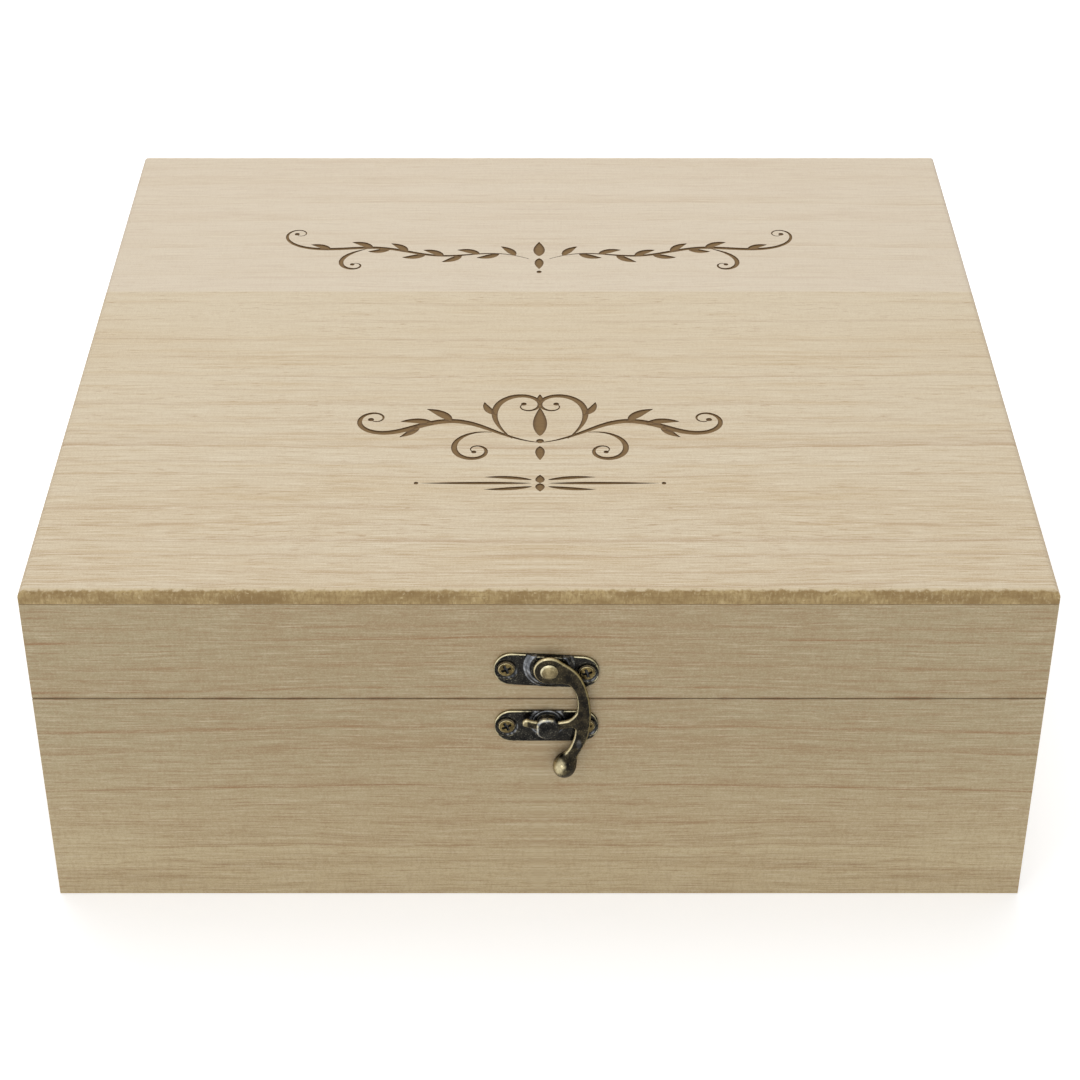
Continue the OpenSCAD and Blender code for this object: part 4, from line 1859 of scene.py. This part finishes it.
@dataclass
class Hook(Casting):
    """The swinging hook: an eye, a curved arm with a tongue, and a ball, in mm."""

    step = 0.19
    low: float = 1.9
    thick: float = 1.6
    eye: float = 4.3
    bore: float = 1.55
    reach: float = 9.7
    swing: float = 19.3
    tongue: float = 2.6
    tongue_tip: float = 18.5
    ball: float = 3.25
    ball_at: tuple[float, float, float] = (4.27, -33.0, 3.7)
    inner_fillet: float = 5.4
    tail_fillet: float = 1.2
    edge: float = 0.76
    stations: tuple[tuple[float, float, float], ...] = (
        (0.00, 0.00, 8.5), (0.49, -0.09, 5.7), (0.74, -0.20, 4.1), (0.91, -0.39, 3.4),
        (0.98, -0.60, 3.6), (0.98, -0.82, 4.2), (0.96, -1.03, 4.1), (0.89, -1.24, 3.7),
        (0.73, -1.45, 3.4), (0.52, -1.62, 4.2),
    )

    def arm(self) -> np.ndarray:
        """Draw the arm as a smooth curve through its stations.

        Returns:
            X, Y and half width along it.
        """
        knots = np.array(self.stations) * [self.reach, self.swing, 0.5]
        padded = np.concatenate([knots[:1], knots, knots[-1:]])
        curve = []
        for a, b, c, d in zip(padded, padded[1:], padded[2:], padded[3:]):
            for t in np.arange(0, 1, 0.1):
                curve.append(
                    0.5 * (2 * b + (c - a) * t + (2 * a - 5 * b + 4 * c - d) * t**2
                           + (3 * b - a - 3 * c + d) * t**3)
                )
        return np.array([*curve, knots[-1]])

    def tongue_line(self) -> np.ndarray:
        """Draw the tongue, bent about the pivot.

        Returns:
            X, Y and half width along it.
        """
        turns = np.radians(np.linspace(-self.tongue_tip, 24.0, 16))
        half = np.full(len(turns), self.tongue / 2)
        return np.stack([self.swing * np.sin(turns), -self.swing * np.cos(turns), half], 1)

    def corner(self, points: Points, x: float, y: float, radius: float, up: bool) -> np.ndarray:
        """Measure to the filled corner round a hollow quarter circle.

        Args:
            points: where to measure.
            x: the circle's middle.
            y: the circle's middle.
            radius: its radius.
            up: whether the corner lies above the middle.

        Returns:
            The distances, negative inside.
        """
        size = radius + self.tongue / 2
        right = np.abs(points[..., 0] - x - size / 2) - size / 2
        middle = y + size / 2 if up else y - size / 2
        above = np.abs(points[..., 1] - middle) - size / 2
        gap = radius - np.hypot(points[..., 0] - x, points[..., 1] - y)
        return np.maximum(np.maximum(right, above), gap)

    def outline(self, points: Points) -> np.ndarray:
        """Measure to the hook's flat outline.

        Args:
            points: where to measure.

        Returns:
            The distances, negative inside.
        """
        inner_x = self.reach - 1.85 - self.inner_fillet
        inner_y = self.inner_fillet + self.tongue / 2 - self.swing
        tail_x = 0.96 * self.reach - 2.05 - self.tail_fillet
        outer = self.swing + self.tongue / 2
        tail_y = -self.tail_fillet - math.sqrt(outer**2 - tail_x**2)
        arm = melt(chain(points, self.arm()), chain(points, self.tongue_line()), 0.5)
        arm = np.minimum(arm, self.corner(points, inner_x, inner_y, self.inner_fillet, False))
        arm = np.minimum(arm, self.corner(points, tail_x, tail_y, self.tail_fillet, True))
        return melt(arm, disc(points, 0, 0, self.eye), 0.4)

    def form(self, points: Points) -> np.ndarray:
        """Measure to the hook.

        Args:
            points: where to measure.

        Returns:
            The distances, negative inside.
        """
        out = points[..., 2]
        flat = self.outline(points)
        body = slab(flat, out, self.low, self.low + self.thick, self.edge)
        radius = np.hypot(points[..., 0], points[..., 1])
        centre = np.array(self.ball_at)
        ball = np.linalg.norm(points - centre, axis=-1) - self.ball
        body = melt(body, ball, 2.4)
        return np.maximum(body, self.bore - radius)

    def touch(self, points: Points, marks: dict[str, np.ndarray]) -> None:
        """Rub the rim and the tongue's tip, paint highlights over a little wear on the ball, and paint a
        sheen on the flank of the tail.

        Args:
            points: the surface's vertices.
            marks: the masks to change.
        """
        inset = self.outline(points)
        above = np.clip((points[:, 2] - self.low - 0.45) / 0.4, 0, 1)
        rim = 0.74 * np.clip((inset + 0.85) / 0.55, 0, 1) * above
        away = points - np.array(self.ball_at)
        far = np.linalg.norm(away, axis=-1)
        facing = away / np.maximum(far, 0.1)[:, None]
        # Painted highlights on the ball, strong on its upper left and weaker on its lower left, over a
        # little wear.
        light = np.clip((facing @ np.array([-0.66, 0.36, 0.66]) - 0.30) / 0.62, 0, 1)
        low = np.clip((facing @ np.array([-0.62, -0.60, 0.50]) - 0.40) / 0.55, 0, 1)
        on_ball = np.clip((self.ball + 1.3 - far) / 0.8, 0, 1)
        rim = rim * (1 - on_ball) + on_ball * (0.30 + 0.38 * np.maximum(light, 0.60 * low))
        tip = np.clip((-4.6 - points[:, 0]) / 1.5, 0, 1)
        marks["edge"] = np.maximum(rim, 0.60 * tip)
        # Painted reflection: a sheen on the flank of the tail.
        place = (points - [8.3, -25.3, self.low + self.thick]) / [1.7, 3.8, 1.0]
        marks["painted_sheen"] = 0.75 * np.clip(1.3 - np.linalg.norm(place, axis=-1), 0, 1)

    def extent(self) -> tuple[Corner, Corner]:
        """Return the corners of a box round the hook."""
        high = (self.reach + 2.4, self.eye + 0.1, self.ball_at[2] + self.ball + 0.1)
        return (-7.6, self.ball_at[1] - self.ball - 0.1, 0.3), high


@dataclass
class Rivet(Casting):
    """The pivot's domed rivet, in mm."""

    step = 0.13
    shank: float = 1.5
    head: float = 2.6
    foot: float = 3.6
    rise: float = 1.0

    def form(self, points: Points) -> np.ndarray:
        """Measure to the rivet.

        Args:
            points: where to measure.

        Returns:
            The distances, negative inside.
        """
        radius = np.hypot(points[..., 0], points[..., 1])
        out = points[..., 2]
        sphere = (self.head**2 + self.rise**2) / (2 * self.rise)
        dome = np.hypot(radius, out - (self.foot + self.rise - sphere)) - sphere
        head = -melt(-dome, out - self.foot, 0.25)
        shank = np.maximum(radius - self.shank, np.maximum(out - self.foot - 0.3, 0.05 - out))
        return np.minimum(head, shank)

    def extent(self) -> tuple[Corner, Corner]:
        """Return the corners of a box round the rivet."""
        span = self.head + 0.1
        return (-span, -span, 0.0), (span, span, self.foot + self.rise)


@dataclass
class CatchPost(Casting):
    """The catch's post: a foot, a collar and a knob with the tongue's slot, in mm."""

    step = 0.14
    foot: float = 2.0
    plate: float = 1.0
    collar: float = 4.2
    collar_rise: float = 0.5
    width: float = 6.2
    height: float = 6.8
    corner: float = 2.6
    top: float = 5.0
    slot_low: float = 1.6
    slot_high: float = 3.8
    slot_half: float = 1.6
    swing: float = 19.3
    swing_x: float = 0.4

    def form(self, points: Points) -> np.ndarray:
        """Measure to the post.

        Args:
            points: where to measure.

        Returns:
            The distances, negative inside.
        """
        out = points[..., 2]
        radius = np.hypot(points[..., 0], points[..., 1])
        foot = slab(radius - self.foot, out, 0.02, self.plate + 0.2, 0.05)
        collar = slab(radius - self.collar, out, self.plate, self.plate + self.collar_rise, 0.22)
        outline = rounded_box(points, self.width, self.height, self.corner)
        crown = self.top - 0.045 * radius**2
        knob = slab(outline, out, self.plate + 0.3, self.top, 0.95)
        knob = -melt(-knob, -(out - crown) * 0.9, 0.3)
        body = melt(np.minimum(foot, collar), knob, 0.22)
        ring = np.hypot(points[..., 0] - self.swing_x, points[..., 1] - self.swing) - self.swing
        level = np.abs(out - (self.slot_low + self.slot_high) / 2)
        slot = np.maximum(np.abs(ring) - self.slot_half, level - (self.slot_high - self.slot_low) / 2)
        return carve(body, slot, 0.12)

    def touch(self, points: Points, marks: dict[str, np.ndarray]) -> None:
        """Paint a sheen on the collar, and a sheen and a painted highlight on the knob's rounded rim.

        Args:
            points: the surface's vertices.
            marks: the masks to change.
        """
        radius = np.hypot(points[:, 0], points[:, 1])
        collar = np.clip((self.plate + self.collar_rise + 0.15 - points[:, 2]) / 0.15, 0, 1)
        collar = 0.9 * collar * np.clip((radius - 2.6) / 0.3, 0, 1)
        rim = np.clip((rounded_box(points, self.width, self.height, self.corner) + 1.1) / 0.6, 0, 1)
        rim = rim * np.clip((points[:, 2] - self.top + 1.5) / 0.3, 0, 1)
        # Painted reflection on the collar and the rim, and a painted highlight along the rim.
        marks["painted_sheen"] = np.maximum(collar, 0.8 * rim)
        marks["edge"] = np.maximum(marks["edge"] * (1 - collar) * (1 - rim), 0.60 * rim)

    def extent(self) -> tuple[Corner, Corner]:
        """Return the corners of a box round the post."""
        span = self.collar + 0.05
        return (-span, -span, 0.0), (span, span, self.top)


@dataclass
class Clasp:
    """The swing-hook clasp on the front."""

    bronze: Finish
    gilt: Finish
    rubbed_and_lit: Finish
    brass: Finish
    x: float = 2.1
    front: float = -132.5
    pivot: tuple[float, float] = (2.8, 84.2)
    post: tuple[float, float] = (2.4, 64.9)
    upper_z: float = 82.6
    lower_z: float = 63.3
    tilt: float = -3.1
    width: float = 28.8
    height: float = 10.6
    corner: float = 4.8
    thick: float = 1.0
    screws: float = 22.2

    def screw_mounts(self, z: float, tilt: float, turns: Sequence[float]) -> list[Mount]:
        """Place a plate's two screws.

        Args:
            z: the height of the plate's middle.
            tilt: the plate's tilt, in degrees.
            turns: how far each screw's cross is turned.

        Returns:
            A mount for each screw.
        """
        plate = Mount(self.x, self.front, z, tilt)
        places = plate.out(np.array([[side * self.screws / 2, 0.0, 0.0] for side in (-1, 1)]))
        return [Mount(spot[0] / MM, self.front, spot[2] / MM, turn) for spot, turn in zip(places, turns)]

    def build(self) -> None:
        """Make the clasp's pieces."""
        turn = math.radians(self.tilt)
        right, up = self.pivot[0] - self.x, self.pivot[1] - self.upper_z
        seat = (
            right * math.cos(turn) + up * math.sin(turn), -right * math.sin(turn) + up * math.cos(turn),
        )
        sizes = (self.width, self.height, self.corner, self.thick, self.screws)
        ClaspPlate(*sizes, seat, seat_foot=7.3, seat_head=5.2, seat_rise=0.8, hole=1.55).add(
            Piece("clasp_hook_plate_cast", Body.LID, Slot.ANTIQUE_BRONZE, ("clasp_hook_plate",)),
            self.bronze, Mount(self.x, self.front, self.upper_z, self.tilt),
        )
        boss = (self.post[0] - self.x, self.post[1] - self.lower_z)
        ClaspPlate(*sizes, boss, seat_foot=5.6, seat_head=4.3, seat_rise=0.12, hole=2.05).add(
            Piece("clasp_catch_plate_cast", Body.BASE, Slot.ANTIQUE_BRONZE, ("clasp_catch_plate",)),
            self.bronze, Mount(self.x, self.front, self.lower_z),
        )
        Hook().add(
            Piece("clasp_hook_cast", Body.HOOK, Slot.ANTIQUE_BRONZE, ("clasp_hook",)),
            self.gilt, Mount(self.pivot[0], self.front, self.pivot[1]),
        )
        Rivet().add(
            Piece("clasp_rivet_domed", Body.LID, Slot.WORN_BRONZE, ("clasp_pivot_rivet",)),
            self.rubbed_and_lit, Mount(self.pivot[0], self.front, self.pivot[1]),
        )
        CatchPost().add(
            Piece("clasp_catch_post_cast", Body.BASE, Slot.ANTIQUE_BRONZE, ("clasp_catch_post",)),
            self.bronze, Mount(self.post[0], self.front, self.post[1]),
        )
        for plate, body, mounts in (
            ("clasp_hook_plate", Body.LID, self.screw_mounts(self.upper_z, self.tilt, (24.0, 17.0))),
            ("clasp_catch_plate", Body.BASE, self.screw_mounts(self.lower_z, 0.0, (28.0, 12.0))),
        ):
            screws = Piece(f"{plate}_cross_screws", body, Slot.SCREW_BRASS, (f"{plate}_screws",))
            Screw().add(screws, self.brass, *mounts)


@dataclass
class HingeLeaf(Casting):
    """One leaf of a butt hinge with its knuckles, pointing up or down from the pin. In mm."""

    step = 0.2
    up: bool
    width: float = 28.0
    height: float = 15.0
    thick: float = 1.0
    corner: float = 2.5
    barrel: float = 1.9
    axis: float = 2.1
    knuckles: int = 5
    gap: float = 0.3
    stop_width: float = 10.0
    stop: float = 3.9
    stop_angle: float = 52.75
    screws: float = 18.0
    screw_rise: float = 9.8
    screw_hole: float = 2.28
    bore: float = 0.96

    def knuckle_set(self, points: Points, odd: bool, radius: float, longer: float) -> np.ndarray:
        """Measure to one leaf's knuckles.

        Args:
            points: where to measure.
            odd: whether they are the odd ones.
            radius: their radius.
            longer: how much longer they are at each end.

        Returns:
            The distances, negative inside.
        """
        length = (self.width - (self.knuckles - 1) * self.gap) / self.knuckles
        round_off = np.hypot(points[..., 1], points[..., 2] - self.axis) - radius
        nearest = np.full(points.shape[:-1], 1e9)
        for number in range(1 if odd else 0, self.knuckles, 2):
            start = number * (length + self.gap) - self.width / 2 - longer
            end = start + length + 2 * longer
            nearest = np.minimum(nearest, slab(round_off, points[..., 0], start, end, 0.16))
        return nearest

    def shoulder(self, points: Points) -> np.ndarray:
        """Measure to the wedge that stops the lid when it is open.

        Args:
            points: where to measure.

        Returns:
            The distances, negative inside.
        """
        turn = math.radians(self.stop_angle)
        along, out = points[..., 1], points[..., 2]
        radial = (out - self.axis) * math.sin(turn) - along * math.cos(turn)
        foot = np.array([self.stop + 0.7, self.thick / 2])
        tip = np.array([self.stop * math.sin(turn), self.axis + self.stop * math.cos(turn)])
        side = tip - foot
        normal = np.array([side[1], -side[0]]) / np.hypot(*side)
        slant = (along - foot[0]) * normal[0] + (out - foot[1]) * normal[1]
        width = np.abs(points[..., 0]) - self.stop_width / 2
        near = self.barrel * math.sin(turn) - along
        return np.maximum.reduce([radial, slant, width, near, self.thick / 2 - out])

    def form(self, points: Points) -> np.ndarray:
        """Measure to the leaf.

        Args:
            points: where to measure.

        Returns:
            The distances, negative inside.
        """
        if not self.up:
            points = points * [1.0, -1.0, 1.0]
        middle = points - [0.0, self.height / 2, 0.0]
        outline = rounded_box(middle, self.width, self.height, self.corner)
        square = points - [0.0, self.height / 2 - self.corner, 0.0]
        outline = np.minimum(outline, rounded_box(square, self.width, self.height - 0.4, 0.2))
        outline = np.maximum(outline, -points[..., 1])
        out = points[..., 2]
        body = np.minimum(slab(outline, out, 0.0, self.thick, 0.28), self.shoulder(points))
        other = self.knuckle_set(points, not self.up, self.barrel + self.gap, self.gap)
        body = melt(np.maximum(body, -other), self.knuckle_set(points, self.up, self.barrel, 0.0), 0.25)
        for side in (-1, 1):
            spot = (side * self.screws / 2, self.screw_rise)
            reach = np.hypot(points[..., 0] - spot[0], points[..., 1] - spot[1])
            body = np.maximum(body, self.screw_hole - reach)
        return np.maximum(body, self.bore - np.hypot(points[..., 1], out - self.axis))

    def extent(self) -> tuple[Corner, Corner]:
        """Find the corners of a box round the leaf.

        Returns:
            The lower and the upper corner.
        """
        half = self.width / 2
        low, high = (self.barrel, self.height) if self.up else (self.height, self.barrel)
        return (-half, -low, 0.0), (half, high, 4.5)


@dataclass
class HingePin(Casting):
    """A hinge's pin with rounded ends, in mm."""

    step = 0.15
    radius: float = 0.9
    half: float = 14.5
    axis: float = 2.1

    def form(self, points: Points) -> np.ndarray:
        """Measure to the pin.

        Args:
            points: where to measure.

        Returns:
            The distances, negative inside.
        """
        round_off = np.hypot(points[..., 1], points[..., 2] - self.axis) - self.radius
        return slab(round_off, points[..., 0], -self.half, self.half, 0.35)

    def extent(self) -> tuple[Corner, Corner]:
        """Return the corners of a box round the pin."""
        low = (-self.half, -self.radius, self.axis - self.radius)
        return low, (self.half, self.radius, self.axis + self.radius)


@dataclass
class Hinge:
    """One butt hinge on the back, with its screws."""

    side: str
    x: float
    metal: Finish
    pin: Finish
    brass: Finish
    back: float = 132.5
    seam: float = 72.3
    screws: float = 18.0
    screw_rise: float = 9.8
    turns: tuple[float, float] = (35.0, 8.0)

    def build(self) -> None:
        """Make the hinge's leaves, pin and screws."""
        mount = Mount(self.x, self.back, self.seam, back=True)
        for leaf, body, sense in (("base", Body.BASE, -1), ("lid", Body.LID, 1)):
            name = f"hinge_{self.side}_{leaf}"
            plate = Piece(f"{name}_leaf_cast", body, Slot.ANTIQUE_BRONZE, (f"{name}_leaf",))
            HingeLeaf(up=sense > 0).add(plate, self.metal, mount)
            mounts = [
                Mount(
                    self.x + place * self.screws / 2, self.back, self.seam + sense * self.screw_rise,
                    turn + 20.0 * sense, True,
                )
                for place, turn in zip((-1, 1), self.turns)
            ]
            screws = Piece(f"{name}_cross_screws", body, Slot.SCREW_BRASS, (f"{name}_screws",))
            Screw().add(screws, self.brass, *mounts)
        name = f"hinge_{self.side}_pin"
        HingePin().add(Piece(f"{name}_turned", Body.BASE, Slot.WORN_BRONZE, (name,)), self.pin, mount)


# Studio


@dataclass
class Studio:
    """The pale floor, the soft light and the camera."""

    floor_half: float = 4.0
    sky: float = 0.43
    lens: float = 83.54
    eye: tuple[float, float, float] = (0.0003, -0.6779, 0.5008)
    pitch: float = 55.465

    def floor(self) -> None:
        """Lay the floor."""
        half = self.floor_half
        mesh = bpy.data.meshes.new("studio_floor")
        corners = [(-half, -half, 0), (half, -half, 0), (half, half, 0), (-half, half, 0)]
        mesh.from_pydata(corners, [], [(0, 1, 2, 3)])
        mesh.materials.append(Backdrop("pale floor").material())
        floor = bpy.data.objects.new("studio_floor", mesh)
        bpy.context.scene.collection.objects.link(floor)
        floor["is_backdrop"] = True

    def world(self) -> None:
        """Light the scene evenly, and show white to the camera and to gloss."""
        world = bpy.data.worlds.new("studio")
        world.use_nodes = True
        w = Wiring(world.node_tree)
        w.tree.nodes.clear()
        strength = w.plus(w.times(w.shows_backdrop(), 1.0 - self.sky), self.sky)
        light = w.add("Background", {"Color": (1.0, 1.0, 1.0), "Strength": strength})
        w.put(w.add("OutputWorld").inputs["Surface"], light.outputs[0])
        bpy.context.scene.world = world

    def lamp(
        self, name: str, place: Sequence[float], target: Sequence[float], size: float, power: float
    ) -> None:
        """Hang a soft square lamp.

        Args:
            name: the lamp's name.
            place: where it hangs, in metres.
            target: what it points at.
            size: its width.
            power: its power in watts.
        """
        light = bpy.data.lights.new(name, "AREA")
        light.shape = "SQUARE"
        light.size = size
        light.energy = power
        lamp = bpy.data.objects.new(name, light)
        lamp.location = place
        lamp.rotation_euler = (Vector(target) - Vector(place)).to_track_quat("-Z", "Y").to_euler()
        bpy.context.scene.collection.objects.link(lamp)

    def lamps(self) -> None:
        """Hang the broad light above and the small one that lights up the metal."""
        self.lamp("overhead", (-0.12, 0.60, 1.55), (0.0, 0.0, 0.08), 1.4, 14.7)
        self.lamp("highlight", (-0.55, -1.0, 0.95), (0.0, -0.13, 0.07), 0.16, 1.4)
        self.lamp("front fill", (0.0, -1.9, 0.75), (0.0, -0.13, 0.03), 1.5, 7.5)

    def camera(self) -> None:
        """Set the camera at the photograph's place."""
        data = bpy.data.cameras.new("camera")
        data.lens = self.lens
        data.sensor_width = 36.0
        data.sensor_fit = "HORIZONTAL"
        data.clip_start = 0.01
        data.clip_end = 30.0
        camera = bpy.data.objects.new("camera", data)
        camera.location = self.eye
        camera.rotation_euler = (math.radians(self.pitch), 0.0, 0.0)
        bpy.context.scene.collection.objects.link(camera)
        bpy.context.scene.camera = camera

    def build(self) -> None:
        """Set up the whole studio."""
        bpy.context.scene.view_settings.view_transform = "Standard"
        self.camera()
        self.floor()
        self.world()
        self.lamps()


FRONT_LINES = (
    GrowthLine(97.8, 0.40, 1.6), GrowthLine(93.6, 0.84, 1.6), GrowthLine(84.4, 0.56, 1.4),
    GrowthLine(80.2, 0.30, 1.0), GrowthLine(76.4, 0.64, 1.2), GrowthLine(67.5, 0.34, 1.2),
    GrowthLine(62.0, 0.80, 2.4), GrowthLine(54.6, 0.56, 3.2), GrowthLine(47.8, 0.34, 1.2),
    GrowthLine(41.2, 0.74, 1.6), GrowthLine(34.5, 0.38, 1.2), GrowthLine(28.0, 0.56, 2.8),
    GrowthLine(19.0, 0.46, 2.6), GrowthLine(10.5, 0.36, 1.6),
)
TOP_LINES = (
    GrowthLine(24.0, 0.30, 1.2), GrowthLine(13.5, 0.36, 1.0), GrowthLine(2.0, 0.32, 1.4),
    GrowthLine(-9.5, 0.40, 1.5), GrowthLine(-20.5, 0.34, 1.0), GrowthLine(-28.5, 0.30, 1.0),
    GrowthLine(-36.5, 0.42, 3.5), GrowthLine(-45.6, 0.38, 3.0), GrowthLine(-53.0, 0.36, 1.2),
    GrowthLine(-60.5, 0.58, 7.0), GrowthLine(-69.5, 0.34, 1.2), GrowthLine(-77.0, 0.44, 1.4),
    GrowthLine(-85.5, 0.34, 1.0), GrowthLine(-93.5, 0.48, 3.0), GrowthLine(-101.5, 0.46, 1.2),
    GrowthLine(-109.3, 0.62, 2.4), GrowthLine(-116.0, 0.44, 1.2), GrowthLine(-123.6, 0.42, 1.4),
    GrowthLine(-129.7, 0.56, 1.0),
)
BACK_LINES = (
    GrowthLine(126.0, 0.20, 8.0), GrowthLine(112.0, 0.24, 12.0), GrowthLine(96.9, 0.34, 7.0),
    GrowthLine(85.0, 0.22, 8.0), GrowthLine(74.5, 0.18, 3.0), GrowthLine(66.5, 0.34, 8.0),
    GrowthLine(57.0, 0.20, 6.0), GrowthLine(47.0, 0.16, 4.0),
)
REAR_LINES = (
    GrowthLine(99.0, 0.40, 2.2), GrowthLine(88.5, 0.30, 3.0), GrowthLine(70.5, 0.22, 2.0),
    GrowthLine(58.0, 0.50, 2.0), GrowthLine(47.5, 0.28, 3.5), GrowthLine(30.5, 0.44, 1.8),
    GrowthLine(14.0, 0.30, 3.0),
)
SIDE_LINES = (
    GrowthLine(95.5, 0.30, 3.0), GrowthLine(83.0, 0.48, 1.8), GrowthLine(66.0, 0.30, 2.6),
    GrowthLine(51.0, 0.46, 1.8), GrowthLine(38.0, 0.26, 3.4), GrowthLine(24.5, 0.42, 2.2),
    GrowthLine(10.5, 0.28, 2.6),
)


def main() -> None:
    """Build the box's looks round the CAD frame."""
    logging.basicConfig(level=logging.INFO, format="%(name)s: %(message)s")
    nodes = frame["nodes"]
    Studio().build()
    front = BareWood(
        "front wood", Grain.UPRIGHT, pale=(0.452, 0.370, 0.220), tan=(0.395, 0.273, 0.143),
        dark=(0.31, 0.150, 0.068), lines=FRONT_LINES, slope=0.016, wave=0.005, mirror=1.0, seed=1.0,
        ripple=0.20, pores=0.52, sheen=(0.70, 0.60, 0.42), seam_shade_at=72.3, painted_foot_light=0.80,
    )
    plain = {"pale": front.pale, "tan": front.tan, "dark": front.dark, "wave": 0.012, "ripple": 0.20}
    plain |= {"sheen": front.sheen, "seam_shade_at": front.seam_shade_at}
    back = BareWood("back wood", Grain.UPRIGHT, seed=5.0, lines=REAR_LINES, **plain)
    sides = BareWood("side wood", Grain.SIDEWAYS, seed=8.0, lines=SIDE_LINES, slope=-0.01, **plain)
    floor = BareWood("floor wood", Grain.FLAT, wave=0.015, seed=12.0, pale=(0.66, 0.54, 0.38))
    Carcass(front, back, sides, floor).dress(nodes)
    face = BareWood(
        "lid wood", Grain.FLAT, pale=(0.67, 0.567, 0.407), tan=(0.56, 0.41, 0.225), lines=TOP_LINES,
        dark=(0.33, 0.205, 0.10), span=(-140.0, 40.0), slope=-0.010, wave=0.006, mirror=1.0, seed=3.0,
        pores=0.60, cloud=0.28, silk=0.96, bolder=0.60, line=(0.38, 0.225, 0.110),
    )
    back_face = BareWood(
        "lid back wood", Grain.FLAT, pale=(0.69, 0.592, 0.456), tan=(0.61, 0.485, 0.355),
        dark=(0.38, 0.26, 0.15), line=(0.50, 0.35, 0.175), lines=BACK_LINES, span=(30.0, 140.0),
        slope=0.01, wave=0.010, mirror=1.0, seed=6.0, pores=0.26, cloud=0.28, silk=0.42,
    )
    LidTop(face, back_face, BandWood("edge band wood"), ScorchedWood("scorched wood")).build()
    bronze = AgedMetal("antique bronze")
    gilt = AgedMetal(
        "hook bronze", body=(0.006, 0.0048, 0.003), haze=(0.037, 0.029, 0.015),
        fleck=(0.25, 0.21, 0.115), worn=(0.60, 0.52, 0.32), dull=(0.24, 0.195, 0.085),
        shaded_side_share=0.88, breakup=0.36, seed=11.0,
    )
    rubbed_and_lit = AgedMetal(
        "rubbed bronze", body=(0.115, 0.088, 0.040), haze=(0.29, 0.235, 0.125), fleck=(0.47, 0.40, 0.24),
        reach=0.42, seed=3.0,
    )
    brass = AgedMetal(
        "dull brass", body=(0.064, 0.045, 0.015), haze=(0.175, 0.128, 0.046), fleck=(0.44, 0.36, 0.18),
        worn=(0.66, 0.57, 0.34), dull=(0.34, 0.27, 0.12), reach=0.40, seed=7.0,
    )
    Clasp(bronze, gilt, rubbed_and_lit, brass).build()
    for name, x in (("left", -75.0), ("right", 75.0)):
        Hinge(name, x, bronze, rubbed_and_lit, brass).build()
    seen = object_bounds()
    sizes = {
        "cad": [list(map(float, corner)) for corner in cad_bounds],
        "visual": [list(map(float, corner)) for corner in seen],
    }
    LOG.info("box of the CAD model %s, of the visual model %s", sizes["cad"], sizes["visual"])


if __name__ == "__main__":
    main()
